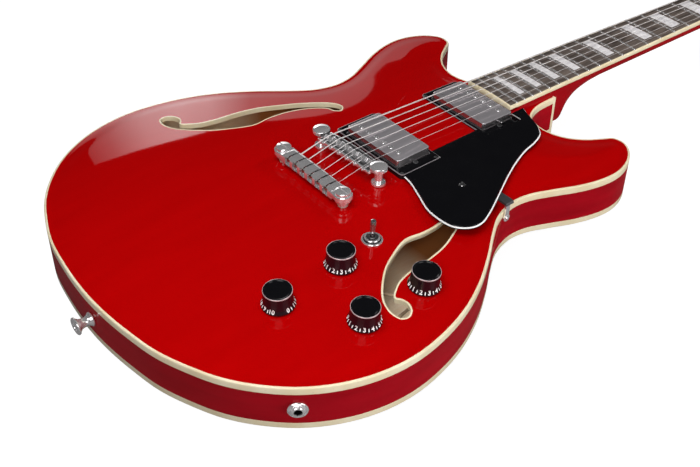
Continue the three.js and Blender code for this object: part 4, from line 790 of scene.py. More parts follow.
def anticlockwise(loop):
    """The loop, turned round if it ran clockwise, so that an inset goes to its inside."""
    after = np.roll(loop, -1, 0)
    twice_area = np.sum(loop[:, 0] * after[:, 1] - loop[:, 1] * after[:, 0])
    return loop if twice_area > 0 else loop[::-1]


def f_hole(side):
    marks = [(F_HOLE_MIDDLE[0] + a * F_HOLE_LENGTH, side * (F_HOLE_MIDDLE[1] + b * F_HOLE_WIDTH))
             for a, b in F_HOLE_SHARES]
    return anticlockwise(through(marks, 156, closed=True))


def raised(loop, z):
    return [Vector((x, y, z)) for x, y in loop]


print("f-hole", np.ptp(f_hole(1), 0).round(1))

# %% [markdown]
# Everything that stands on the top or sinks into it needs a place. The holes for posts and studs, the bays
# for the pickups and the pocket of the neck are all cut from the same plate, so their sizes are set down
# first.

# %% Places on the top
POSTS = {"treble": (TREBLE_POST_X, -POST_SPREAD / 2), "bass": (TREBLE_POST_X - SLANT, POST_SPREAD / 2)}
STUD_SPREAD, TAIL_TO_BRIDGE = 82.0, 46.0
STUDS = {"treble": (-TAIL_TO_BRIDGE, -STUD_SPREAD / 2), "bass": (-TAIL_TO_BRIDGE, STUD_SPREAD / 2)}
PICKUP_LENGTH, PICKUP_WIDTH = 69.5, 38.0
LEG_LENGTH, CAVITY_GAP = 79.0, 1.5
PICKUPS = {
    "bridge": dict(x=38.7, rise=3.6, cover=7.4, tilt=NECK_ANGLE / 3, pole_side=-1),
    "neck": dict(x=BOARD_START - 22.9, rise=1.1, cover=6.8, tilt=NECK_ANGLE, pole_side=1),
}
TENON_WIDTH, TENON_DEPTH, TENON_LENGTH = 38.0, 31.0, 52.0
KNOB_SHARES = {"neck_tone": (0.2176, 0.504), "neck_volume": (0.3496, 0.4804),
               "bridge_volume": (0.4287, 0.753), "bridge_tone": (0.301, 0.7627)}
TOGGLE_SHARES = (0.4304, 0.4412)


def neck_pocket(floor_z):
    """A block that cuts the pocket for the neck's tenon, from its floor upwards."""
    return block((BRIDGE_TO_JOINT - TENON_LENGTH, -TENON_WIDTH / 2, floor_z),
                 (BRIDGE_TO_JOINT + 20, TENON_WIDTH / 2, 30))


def on_top(along, across):
    """The bench of a control: on the arch, with z square to it."""
    x, y = along * BODY_LENGTH - BUTT_TO_BRIDGE, -across * BODY_WIDTH / 2
    step = ARCH_EASE
    slope_x = (top_at(x + step, y) - top_at(x - step, y)) / (2 * step)
    slope_y = (top_at(x, y + step) - top_at(x, y - step)) / (2 * step)
    lean = Vector((0, 0, 1)).rotation_difference(Vector((-slope_x, -slope_y, 1)))
    return Matrix.Translation((x, y, top_at(x, y))) @ lean.to_matrix().to_4x4()


knob_benches = {name: on_top(*shares) for name, shares in KNOB_SHARES.items()}
toggle_bench = on_top(*TOGGLE_SHARES)
print("controls", list(knob_benches))

# %% [markdown]
# The top plate itself: two arched skins 4.5 mm apart made in one go, from the middle of the underside out to
# the edge and back to the middle of the top. Its inner face is bare wood, its outer face lacquered.

# %% Top plate
top = plate(lambda share: TOP_ARCH * share, FINE_SHARES, lambda share: TOP_ARCH * share - PLATE,
            COARSE_SHARES)
tools = [skinned([raised(f_hole(side), z) for z in (-20, 20)]) for side in (1, -1)]
tools.append(neck_pocket(-30))
for pickup in PICKUPS.values():
    half_x, half_y = PICKUP_WIDTH / 2 + CAVITY_GAP, LEG_LENGTH / 2 + CAVITY_GAP
    tools.append(block((pickup["x"] - half_x, -half_y, -30), (pickup["x"] + half_x, half_y, 30)))
tools += [turned([(3.4, -20), (3.4, 20)], 24, *place) for place in POSTS.values()]
tools += [turned([(4.4, -20), (4.4, 20)], 24, *place) for place in STUDS.values()]
combined(top, *tools)
painted(top, red_top, bare_maple, chooser=lambda centres, normals: normals[:, 2] < 0.5)
ready(top, "top", "guitar_body", "red_top", "top_plate")
print("top faces", len(top.data.polygons))

# %% [markdown]
# The cream strip of an f-hole follows the hole's edge and stands as deep as the plate, level with the
# lacquer. It is swept as a ring: six marks of its section, each a loop that rides on the arch.

# %% F-hole binding
def strip_loop(loop, distance, lower):
    shifted = inset(loop, distance)
    heights = TOP_ARCH * arch_share(shifted)
    return [Vector((x, y, z - lower)) for (x, y), z in zip(shifted, heights)]


for side, name in ((1, "bass"), (-1, "treble")):
    hole = f_hole(side)
    strip = skinned([strip_loop(hole, 0.02, PLATE), strip_loop(hole, 0.02, 0), strip_loop(hole, 0.35, -0.12),
                     strip_loop(hole, 1.15, -0.12), strip_loop(hole, 1.5, 0.1), strip_loop(hole, 1.5, PLATE)],
                    ends="joined")
    painted(strip, cream_binding)
    ready(strip, f"f_hole_binding_{name}", "guitar_body", "cream_binding")
print("f-hole strips 2")

# %% [markdown]
# The back is the same arch turned over, without holes. Its inside is bare, and shows faintly through the
# f-holes.

# %% Back plate
back = plate(lambda share: PLATE - RIM_DEPTH - BACK_ARCH * share, COARSE_SHARES,
             lambda share: -RIM_DEPTH - BACK_ARCH * share, FINE_SHARES)
painted(back, red_sides, bare_maple, chooser=lambda centres, normals: normals[:, 2] > -0.5)
ready(back, "back", "guitar_body", "red_back", "back_plate")
print("back faces", len(back.data.polygons))

# %% [markdown]
# The sides are one long strip bent to the outline, with a lining inside and a ledge top and bottom for the
# binding. A ring of eight loops gives all of that. The pocket for the neck and the bores for the jack and the
# strap button are then cut out.

# %% Sides
JACK_NORMAL = Vector((-0.566, -0.825, 0)).normalized()
JACK_AT = Vector((0.141 * BODY_LENGTH - BUTT_TO_BRIDGE, -174.8, -RIM_DEPTH / 2))
JACK = Matrix.Translation(JACK_AT) @ Vector((0, 0, 1)).rotation_difference(JACK_NORMAL).to_matrix().to_4x4()
shoulder = BINDING_DEPTH


def edge_loop(distance, z):
    return raised(inset(outline, distance), z)


sides = skinned([
    edge_loop(0, -shoulder), edge_loop(BINDING_WIDTH, -shoulder), edge_loop(BINDING_WIDTH, -PLATE - 0.3),
    edge_loop(RIM_WALL, -PLATE - 0.3), edge_loop(RIM_WALL, PLATE + 0.3 - RIM_DEPTH),
    edge_loop(BINDING_WIDTH, PLATE + 0.3 - RIM_DEPTH), edge_loop(BINDING_WIDTH, shoulder - RIM_DEPTH),
    edge_loop(0, shoulder - RIM_DEPTH)], ends="joined")
jack_bore = placed(turned([(5.0, -30), (5.0, 30)], 24), JACK)
button_bore = placed(turned([(2.4, -30), (2.4, 30)], 20), ALONG_MINUS_X,
                     Matrix.Translation((-BUTT_TO_BRIDGE, 0, -RIM_DEPTH / 2)))
combined(sides, neck_pocket(-TENON_DEPTH), jack_bore, button_bore)
painted(sides, red_sides, bare_maple,
        chooser=lambda centres, normals: edge_distance(centres[:, :2]) > 0.6)
ready(sides, "sides", "guitar_body", "red_sides", "rim")
kept("centre_block", bare_maple)
kept("truss_rod", fret_wire)
print("sides faces", len(sides.data.polygons))

# %% [markdown]
# Binding protects the corners where plates meet sides, so its outer corner is rounded over by the scraper.
# The same strip runs round the back, and two short upright pieces close the joint beside the heel.

# %% Body binding
def bound(edge, inwards):
    """Loops of the strip's section. The edge is its height and inwards the way to the rest of it."""
    deep = BINDING_DEPTH * inwards
    return [edge_loop(0, edge + deep), edge_loop(0, edge + 1.2 * inwards),
            edge_loop(0.12, edge + 0.62 * inwards),
            edge_loop(0.45, edge + 0.2 * inwards), edge_loop(1.0, edge), edge_loop(BINDING_WIDTH, edge),
            edge_loop(BINDING_WIDTH, edge + deep)]


upper = skinned(bound(0, -1), ends="joined")
combined(upper, neck_pocket(-30))
lower = skinned(bound(-RIM_DEPTH, 1), ends="joined")
uprights = [softened(block((BRIDGE_TO_JOINT - 3.6, side * JOINT_WIDTH / 2 - 1.0 - side * 0.98, 2 - RIM_DEPTH),
                           (BRIDGE_TO_JOINT + 0.03, side * JOINT_WIDTH / 2 + 1.0 - side * 0.98, -2)), 0.3)
            for side in (1, -1)]
binding = painted(gathered(upper, lower, *uprights), cream_binding)
ready(binding, "binding", "guitar_body", "cream_binding", "body_binding")
print("binding faces", len(binding.data.polygons))

# %% [markdown]
# The neck is carved from one length of wood: an upright heel that meets the body, a rounded shaft and a flat
# head. Seen end on it is always a half round whose corners are fuller or softer, so one formula with a
# changing power draws every section, and the skin is drawn over them from the heel to the tip of the head.

# %% Neck sections
HEEL_LENGTH, HEEL_DEPTH = 75.0, 51.5
SHAFT_AT_HEEL, SHAFT_AT_NUT = 18.0, 15.8
HEAD_LENGTH, HEAD_WIDTH, HEAD_THICKNESS, VENEER = 183.0, 80.0, 14.0, 1.2
HEEL_SHARES = [(0, 1), (0.2, 1), (0.245, 0.86), (0.29, 0.66), (0.37, 0.43), (0.5, 0.22), (0.74, 0.06), (1, 0)]
HEAD_SHARES = [(0, 0.54), (0.06, 0.6), (0.13, 0.74), (0.2, 0.86), (0.3, 0.9), (0.6, 0.95), (0.84, 1),
               (0.93, 0.97), (0.97, 0.84), (0.98, 0.6), (0.99, 0.3), (1, 0)]
HEEL_START = (BRIDGE_TO_JOINT + 0.3 - BOARD_START) / math.cos(NECK_ANGLE)


def board_half(x):
    return (BOARD_END_WIDTH + (NUT_WIDTH - BOARD_END_WIDTH) * x / BOARD_LENGTH) / 2


def neck_section(bench, x, half, top, depth, power, upright=0.0, steps=28):
    points = []
    for step in range(steps + 1):
        turn = math.pi * step / steps
        across, down = math.cos(turn), math.sin(turn)
        z = top - depth * abs(down) ** (2 / power)
        y = math.copysign(half * abs(across) ** (2 / power), across)
        points.append(bench @ Vector((x - z * math.tan(NECK_ANGLE) * upright, y, z)))
    return points


def shaft_depth(x):
    return float(np.interp(x, [HEEL_START + HEEL_LENGTH, BOARD_LENGTH], [SHAFT_AT_HEEL, SHAFT_AT_NUT]))


sections = []
heel_curve = through([(0.0, 1.0), (0.1, 1.0), *HEEL_SHARES[1:]], 26)
for along, left in heel_curve:
    x = HEEL_START + along * HEEL_LENGTH
    left = min(max(left, 0), 1)
    depth = SHAFT_AT_HEEL + (HEEL_DEPTH - BOARD_THICKNESS - SHAFT_AT_HEEL) * left
    sections.append(neck_section(NECK, x, min(board_half(x), JOINT_WIDTH / 2), -BOARD_THICKNESS, depth,
                                 1.9 + 2.9 * left, left))
for x in np.linspace(HEEL_START + HEEL_LENGTH, BOARD_LENGTH - 22, 9)[1:]:
    sections.append(neck_section(NECK, x, board_half(x), -BOARD_THICKNESS, shaft_depth(x), 1.9))
print("neck sections", len(sections))

# %% [markdown]
# Under the nut the round shaft turns into the flat head, with a slight swelling that strengthens the bend.
# The head's outline is a guess, as it lies outside the photograph: a plain three-a-side shape with a soft
# crown. Its face is a thin black veneer bound in cream, so the wood stops just below.

# %% Neck and head
head_marks = through([(a * HEAD_LENGTH, b * HEAD_WIDTH / 2) for a, b in HEAD_SHARES], 44)


def head_half(x):
    return float(np.interp(x, head_marks[:, 0], head_marks[:, 1]))


for share, swell in ((0.35, 1.2), (0.7, 2.0)):
    x = BOARD_LENGTH - 22 + 22 * share
    sections.append(neck_section(NECK, x, board_half(x), -BOARD_THICKNESS, shaft_depth(x) + swell,
                                 1.9 + share))
for x, power, depth in ((2, 3.6, 17.2), (9, 5, 16.0), (18, 7, 14.2), (30, 9, 13.2)):
    sections.append(neck_section(HEAD, x, head_half(x), -VENEER, depth - VENEER, power))
for x in [*np.linspace(38, 168, 14), *head_marks[-14:-1, 0]]:
    if x > 38 or len(sections) < 60:
        sections.append(neck_section(HEAD, x, max(head_half(x), 0.4), -VENEER, HEAD_THICKNESS - VENEER, 9))
neck = skinned(sections)

shoulders = skinned([[Vector((x, y, z)) for y, z in (
    (-half, top_at(x, half) - 1.5), (half, top_at(x, half) - 1.5), (half, roof), (-half, roof))]
    for x, half, roof in [(x, board_half(x - BOARD_START) - 0.15,
                           (NECK @ Vector(((x - BOARD_START) / math.cos(NECK_ANGLE), 0, -BOARD_THICKNESS))).z)
                          for x in np.linspace(BOARD_START + 0.3, BRIDGE_TO_JOINT + 12, 9)]])
tenon = block((BRIDGE_TO_JOINT - TENON_LENGTH + 0.3, -TENON_WIDTH / 2 + 0.3, 0.3 - TENON_DEPTH),
              (BRIDGE_TO_JOINT + 12, TENON_WIDTH / 2 - 0.3, 6))
combined(neck, shoulders, tenon, how="UNION")
channel = placed(block((80, -2.7, -BOARD_THICKNESS - 8), (BOARD_LENGTH + 29, 2.7, 0)), NECK)
TRUSS_POCKET = (-4, -4.5, -7), (24, 4.5, 20)
combined(neck, channel, placed(block(*TRUSS_POCKET), HEAD))
painted(neck, red_neck)
ready(neck, "neck_wood", "guitar_body", "red_neck", "neck", smooth=38)
print("neck faces", len(neck.data.polygons))

# %% [markdown]
# The black face of the head is a thin plate cut to the same outline, with the cream line round it. The
# cover over the truss rod is a small bell of black plastic with three screws, left without any name.

# %% Head veneer, its binding and the truss cover
TUNER_SHARES, TO_EDGE = (0.24, 0.46, 0.68), 13.0
COVER_SCREWS = ((5, 5.6), (5, -5.6), (36, 0))
head_loop = np.concatenate([head_marks, [(x, -y) for x, y in head_marks[-2:0:-1]], [(0, -head_marks[0, 1])]])
head_loop = anticlockwise(head_loop[np.linalg.norm(head_loop - np.roll(head_loop, 1, 0), axis=1) > 0.15])


def ring_plate(loop, outer, inner, low, high):
    return skinned([raised(inset(loop, outer), low), raised(inset(loop, outer), high - 0.25),
                    raised(inset(loop, outer + 0.25), high), raised(inset(loop, inner), high),
                    raised(inset(loop, inner), low)], ends="joined")


veneer = skinned([raised(inset(head_loop, 1.8), -VENEER), raised(inset(head_loop, 1.8), 0.0)])
for side in (-1, 1):
    for along in TUNER_SHARES:
        x = along * HEAD_LENGTH
        combined(veneer, turned([(5.3, -9), (5.3, 9)], 24, x, side * (head_half(x) - TO_EDGE)))
combined(veneer, block(*TRUSS_POCKET))
ready(painted(veneer, black_plastic), "head_veneer", "guitar_body", "black_plastic", bench=HEAD)
edging = ring_plate(head_loop, 0.05, 1.8, -VENEER, 0.0)
ready(painted(edging, cream_binding), "head_binding", "guitar_body", "cream_binding", bench=HEAD)

bell = through([(1.5, 9.2), (7, 8.6), (13, 6.2), (20, 4.6), (30, 4.2), (37, 4.0), (41, 2.4)], 24)
bell_loop = np.concatenate([bell, bell[::-1] * (1, -1)])[::-1]
cover = skinned([raised(bell_loop, 0.02), raised(bell_loop, 1.1), raised(inset(bell_loop, 0.5), 1.6)])
painted(cover, black_plastic)


def countersunk(radius, height, reach=3.0, sides=20):
    """A small screw, its head slightly domed and slotted with a cross."""
    screw = turned([(radius * 0.45, -reach), (radius * 0.45, -0.2), (radius, 0), (radius, height * 0.35),
                    (radius * 0.8, height * 0.85), (radius * 0.3, height)], sides)
    wide, deep = radius * 0.16, height * 0.25
    for turn in (0, math.pi / 2):
        slot = placed(block((-radius * 0.62, -wide, deep), (radius * 0.62, wide, height + 1)),
                      Matrix.Rotation(turn, 4, "Z"))
        combined(screw, slot)
    return screw


screw = countersunk(1.7, 0.9)
cover_screws = [placed(twin(screw), Matrix.Translation((x, y, 1.5))) for x, y in COVER_SCREWS]
bpy.data.objects.remove(screw)
ready(cover, "truss_cover", "guitar_body", "black_plastic", bench=HEAD)
ready(painted(gathered(*cover_screws), chrome), "truss_cover_screws", "guitar_body", "chrome", bench=HEAD)
print("head face done")

# %% [markdown]
# The fingerboard is a thin bar whose top is part of a large cylinder. Its cream binding covers both edges and
# the end by the pickup, so the dark wood is a little smaller than the whole board, and both come from one
# section.

# %% Fingerboard and its binding
BOARD_BINDING = 1.8


def crown_drop(y):
    return y * y / (2 * BOARD_RADIUS)


def board_section(x, half, bottom, top=0.0, steps=18):
    crown = [Vector((x, y, top - crown_drop(y))) for y in np.linspace(half, -half, steps + 1)]
    return [Vector((x, -half, bottom)), Vector((x, half, bottom)), *crown]


inner = BOARD_BINDING + 0.05
wood = skinned([board_section(x, board_half(x) - inner, 0.1 - BOARD_THICKNESS)
                for x in np.linspace(inner, BOARD_LENGTH, 5)])
painted(wood, dark_board)
ready(wood, "fingerboard", "guitar_body", "dark_board", "fretboard", bench=NECK)

whole = skinned([board_section(x, board_half(x), 0.1 - BOARD_THICKNESS) for x in (0, BOARD_LENGTH)])
softened(whole, 0.5, 2, 50)
combined(whole, skinned([board_section(x, board_half(x) - BOARD_BINDING, -30, 30)
                         for x in (BOARD_BINDING, BOARD_LENGTH + 30)]))
painted(whole, cream_binding)
ready(whole, "fingerboard_binding", "guitar_body", "cream_binding", "fretboard_binding", bench=NECK)
print("board length", round(BOARD_LENGTH, 1))

# %% [markdown]
# Each fret is a domed wire bent to the board's curve and filed to a slope at its ends. Its place follows from
# the scale length alone: every twelfth fret halves the string.

# %% Frets
FRET_COUNT, FRET_HEIGHT, FRET_WIDTH = 22, 1.1, 2.2


def fret_place(number):
    return SCALE_LENGTH * 2 ** (-number / 12) - BOARD_START


def fret_loop(x, y, half):
    low = 1 if abs(y) < half - 0.5 else 0.35
    dome = [(math.cos(a) * FRET_WIDTH / 2, math.sin(a) * FRET_HEIGHT * low)
            for a in np.linspace(0, math.pi, 7)]
    section = [*dome, (-FRET_WIDTH / 2, -0.6), (FRET_WIDTH / 2, -0.6)]
    return [Vector((x + dx, y, dz - crown_drop(y))) for dx, dz in section]


frets = []
for number in range(1, FRET_COUNT + 1):
    x = fret_place(number)
    half = board_half(x) - 0.9
    stations = [-half, -half + 0.8, *np.linspace(-half + 3, half - 3, 7), half - 0.8, half]
    frets.append(skinned([fret_loop(x, y, half) for y in stations]))
ready(painted(gathered(*frets), fret_wire), "frets", "guitar_body", "dark_board", bench=NECK, smooth=50)
print("frets", len(frets), "twelfth at", round(fret_place(12), 1))

# %% [markdown]
# Pearl blocks mark the usual frets. They are let into the wood and filed to its curve, so each is a thin
# curved tile standing a hair above the board. Small black dots on the edge mark the same frets for the
# player.

# %% Inlays and side dots
MARKED = (3, 5, 7, 9, 12, 15, 17, 19, 21)
tiles, dots = [], []
for number in MARKED:
    before, after = fret_place(number), fret_place(number - 1)
    middle, length = (before + after) / 2, (after - before) * 0.6
    half = (board_half(middle) - BOARD_BINDING) * 0.68
    tile = skinned([[Vector((middle + dx, y, z - crown_drop(y))) for dx, z in (
        (-length / 2, -0.5), (length / 2, -0.5), (length / 2, 0.03), (-length / 2, 0.03))]
        for y in np.linspace(-half, half, 9)])
    tiles.append(tile)
    for offset in ((-3, 3) if number == 12 else (0,)):
        edge = board_half(middle + offset)
        dot = placed(turned([(1.1, -0.3), (1.1, 0.06), (0.6, 0.1)], 20),
                     ALONG_Y,
                     Matrix.Translation((middle + offset, edge, -2.6)))
        dots.append(dot)
ready(painted(gathered(*tiles), pearl), "inlays", "guitar_body", "bone", bench=NECK)
ready(painted(gathered(*dots), black_plastic), "side_dots", "guitar_body", "black_plastic", bench=NECK)
print("inlays", len(tiles), "side dots", len(dots))

# %% [markdown]
# The nut is a bar of bone with a rounded back and six slots, each as wide as its string.

# %% Nut
STRING_SHARES = (-0.5, -0.3, -0.1, 0.1, 0.3, 0.5)
DIAMETERS = (0.28, 0.36, 0.46, 0.7, 0.95, 1.2)
SPREAD_AT_BRIDGE, SPREAD_AT_NUT = 52.0, 35.5
HEIGHT_AT_BRIDGE, HEIGHT_AT_NUT = 27.3, 2.0

top_of_nut = HEIGHT_AT_NUT + DIAMETERS[-1] / 2
nut = skinned([board_section(x, NUT_WIDTH / 2, 0.15 - BOARD_THICKNESS, top)
               for x, top in ((BOARD_LENGTH + 0.15, top_of_nut), (BOARD_LENGTH + 2.4, top_of_nut - 0.05),
                              (BOARD_LENGTH + 4.0, top_of_nut - 0.5),
                              (BOARD_LENGTH + NUT_THICKNESS, top_of_nut - 1.5))])
softened(nut, 0.3, 2, 50)
for share, diameter in zip(STRING_SHARES, DIAMETERS):
    y = share * SPREAD_AT_NUT
    floor_z = HEIGHT_AT_NUT - crown_drop(y) - diameter / 2 - 0.03
    combined(nut, block((BOARD_LENGTH - 5, y - diameter / 2 - 0.1, floor_z),
                        (BOARD_LENGTH + 10, y + diameter / 2 + 0.1, 20)))
ready(painted(nut, bone), "bone_nut", "guitar_body", "bone", "nut", bench=NECK)
print("nut slots", len(DIAMETERS))

# %% [markdown]
# A machine head is a small gearbox. Its casing, the threaded bushing that clamps it through the head and the
# hexagon nut stay on the guitar; the post and the key turn. One of each is modelled at the head's centre and
# six twins go to their places, three a side and mirrored.

# %% Machine heads
POST_RADIUS, POST_RISE, POST_SINK = 3.0, 19.0, 6.0
WAIST_RADIUS, WAIST_START, WAIST_END = 2.5, 7.0, 14.0
CASING_TOP = -HEAD_THICKNESS - 0.3
SHAFT_LEVEL = CASING_TOP - 4.6


def tuner_place(number):
    side = -1 if number <= 3 else 1
    x = TUNER_SHARES[min(number, 7 - number) - 1] * HEAD_LENGTH
    return side, x, side * (np.interp(x / HEAD_LENGTH, *zip(*HEAD_SHARES)) * HEAD_WIDTH / 2 - TO_EDGE)


def mirrored(piece, side):
    """Flips a piece made for the bass side over to the other one."""
    if side < 0:
        piece.data.transform(Matrix.Scale(-1, 4, Vector((0, 1, 0))))
        only(piece)
        bpy.ops.object.mode_set(mode="EDIT")
        bpy.ops.mesh.select_all(action="SELECT")
        bpy.ops.mesh.flip_normals()
        bpy.ops.object.mode_set(mode="OBJECT")
    return piece


casing = softened(block((-7.5, -8, CASING_TOP - 9.5), (7.5, 11, CASING_TOP)), 1.8, 3, 40)
ears = [softened(block((*low, CASING_TOP - 1.4), (*high, CASING_TOP)), 0.4, 1)
        for low, high in (((-10.5, -7), (-7, -1.5)), ((7, 3), (10.5, 8.5)))]
combined(casing, *ears, how="UNION")
bore = turned([(3.12, CASING_TOP - POST_SINK - 0.12), (3.12, 30)], 28)


def shaft_bore():
    return placed(turned([(2.3, 5.3), (2.3, 30)], 20), ALONG_Y, Matrix.Translation((0, 0, SHAFT_LEVEL)))


combined(casing, bore, shaft_bore())
sleeve = turned([(5.0, CASING_TOP - 0.1), (5.0, 0.25), (8.8, 0.25), (8.8, 0.7), (8.4, 0.95), (5.2, 0.95),
                 (5.2, 1.5)], 36)
hexagon = skinned([circle(7.0, 0.9, 6), circle(7.4, 1.2, 6), circle(7.4, 2.5, 6), circle(6.6, 2.9, 6)])
combined(sleeve, hexagon, how="UNION")
combined(sleeve, turned([(3.12, -40), (3.12, 40)], 28))
case_screws = [placed(countersunk(1.5, 0.8, 4.0, 16), Matrix.Rotation(math.pi, 4, "X"),
                      Matrix.Translation((x, y, CASING_TOP - 1.4))) for x, y in ((-9, -4.2), (9, 5.8))]
collar = placed(turned([(3.6, 10.6), (3.6, 12.2), (3.1, 12.8)], 28), ALONG_Y,
                Matrix.Translation((0, 0, SHAFT_LEVEL)))
combined(collar, shaft_bore())
housing = gathered(casing, sleeve, collar, *case_screws)

post = turned([(2.7, CASING_TOP - POST_SINK), (POST_RADIUS, CASING_TOP - POST_SINK + 0.4),
               (POST_RADIUS, WAIST_START), (2.6, WAIST_START + 0.35), (WAIST_RADIUS, WAIST_START + 0.8),
               (WAIST_RADIUS, WAIST_END - 0.8), (2.6, WAIST_END - 0.35), (POST_RADIUS, WAIST_END),
               (POST_RADIUS, POST_RISE - 0.6), (2.75, POST_RISE - 0.2), (2.3, POST_RISE)], 32)
combined(post, placed(turned([(0.9, -10), (0.9, 10)], 14), ALONG_X,
                      Matrix.Translation((0, 0, 10.5))))

key_start = TO_EDGE + 6.0
key_shaft = placed(turned([(1.9, 5.6), (2.1, 6.0), (2.1, key_start + 1), (3.4, key_start + 2.2),
                           (3.4, key_start + 5)], 24),
                   ALONG_Y, Matrix.Translation((0, 0, SHAFT_LEVEL)))
bpy.ops.object.select_all(action="DESELECT")
bpy.ops.mesh.primitive_uv_sphere_add(segments=40, ring_count=24, radius=1)
paddle = bpy.context.object
for vertex in paddle.data.vertices:
    x, y, z = vertex.co
    wing = 1 - 0.16 * math.exp(-(x / 0.35) ** 2) * (1 if y > 0 else 0)
    vertex.co = (7.0 * math.copysign(abs(x) ** 0.85, x), key_start + 8.5 + 8.5 * y * wing,
                 SHAFT_LEVEL + 3.5 * z)
combined(key_shaft, paddle, how="UNION")
for number in range(1, 7):
    side, x, y = tuner_place(number)
    place = Matrix.Translation((x, abs(y) * side, 0))
    for source, part, body in ((housing, "housing", "guitar_body"), (post, "post", f"tuner_post_{number}"),
                               (key_shaft, "key", f"tuner_key_{number}")):
        piece = placed(mirrored(twin(source), side), place)
        ready(painted(piece, chrome), f"machine_{part}_{number}", body, "chrome", f"tuner_{part}_{number}",
              bench=HEAD)
for source in (housing, post, key_shaft):
    bpy.data.objects.remove(source)
print("machine heads 6")

# %% [markdown]
# The bridge is a cast trough with an ear at each end that drops over a post. The ears are domed discs. The
# floor carries six screws, one under each saddle, whose heads face the tailpiece.

# %% Bridge
BAR_BOTTOM, BAR_TOP, TROUGH_FLOOR = 20.2, 24.4, 21.2
BAR_HALF, TROUGH_HALF, BAR_LENGTH = 8.0, 6.5, 66.0
EAR_RADIUS, EAR_THICKNESS, EAR_TOP, EAR_DOME = 7.7, 3.8, 27.6, 1.3
POST_OUT = math.hypot(POST_SPREAD, SLANT) / 2
SCREW_LEVEL = TROUGH_FLOOR + 0.95

bar = skinned([[Vector((dx, y, z)) for dx, z in (
    (-BAR_HALF, BAR_BOTTOM), (-BAR_HALF, BAR_TOP - crown_drop(y)),
    (BAR_HALF, BAR_TOP - crown_drop(y)), (BAR_HALF, BAR_BOTTOM))]
    for y in np.linspace(-BAR_LENGTH / 2, BAR_LENGTH / 2, 9)])
softened(bar, 0.5, 2, 50)
trough = softened(block((-TROUGH_HALF, 1.5 - BAR_LENGTH / 2, TROUGH_FLOOR),
                        (TROUGH_HALF, BAR_LENGTH / 2 - 1.5, 40)), 0.8, 2, 50)
combined(bar, trough)
for end in (-1, 1):
    dome = [(EAR_RADIUS * math.cos(a), EAR_TOP - 0.4 + (EAR_DOME + 0.4) * math.sin(a))
            for a in np.linspace(0, 1.5, 9)]
    ear = turned([(EAR_RADIUS - 0.5, EAR_TOP - EAR_THICKNESS),
                  (EAR_RADIUS, EAR_TOP - EAR_THICKNESS + 0.5), *dome], 48, 0, end * POST_OUT)
    hub = turned([(3.9, BAR_BOTTOM), (4.2, BAR_BOTTOM + 0.3), (4.2, EAR_TOP - 1)], 32, 0, end * POST_OUT)
    combined(bar, ear, hub, how="UNION")
    combined(bar, turned([(2.55, 0), (2.55, BAR_BOTTOM + 5.35)], 28, 0, end * POST_OUT))
for share in STRING_SHARES:
    bore = placed(turned([(1.0, -20), (1.0, 0)], 16), ALONG_X,
                  Matrix.Translation((0, share * SPREAD_AT_BRIDGE, SCREW_LEVEL)))
    combined(bar, bore)


def in_the_trough(centres, normals):
    """The trough's walls and floor, painted dark as shade, since they see little light between the saddles.
    """
    x, y, z = np.abs(centres[:, 0]), np.abs(centres[:, 1]), centres[:, 2]
    is_top = (normals[:, 2] > 0.7) & (z > TROUGH_FLOOR + 1)
    return (x < TROUGH_HALF + 0.05) & (y < BAR_LENGTH / 2 - 1.3) & (z > TROUGH_FLOOR - 0.1) & ~is_top


# Painted shade: the trough between the saddles gets the dark metal.
painted(bar, chrome, black_metal, chooser=in_the_trough)
ready(bar, "bridge_bar", "bridge", "chrome", "bridge_body", bench=BRIDGE)


def threaded(radius, start, end, pitch, sides=14):
    """A turned rod along Z whose radius rises and falls once a turn of thread."""
    steps = int((end - start) / pitch * 2)
    rings = [(radius - (0.16 * pitch if step % 2 else 0), start + (end - start) * step / steps)
             for step in range(steps + 1)]
    return turned(rings, sides)


saddle_screw = threaded(0.8, -6.6, 6.45, 0.7, 12)
screw_head = turned([(1.2, -9.6), (1.6, -9.3), (1.6, -8.3), (1.3, -8.02)], 20)
combined(screw_head, block((-2, -0.22, -11), (2, 0.22, -9.1)))
neck_of_screw = turned([(0.8, -8.3), (0.8, -6.5)], 12)
pattern_screw = gathered(saddle_screw, screw_head, neck_of_screw)
screws = [placed(twin(pattern_screw), ALONG_X,
                 Matrix.Translation((0, share * SPREAD_AT_BRIDGE, SCREW_LEVEL))) for share in STRING_SHARES]
bpy.data.objects.remove(pattern_screw)
ready(painted(gathered(*screws), chrome), "saddle_screws", "bridge", "chrome", bench=BRIDGE)
print("bridge bar and screws 6")

# %% [markdown]
# Saddles are little wedges with a notch for the string. Each stands a different distance along its screw,
# because a thicker string needs a slightly longer length to sound in tune. Under the ears, the posts carry a
# thumbwheel with a milled edge.

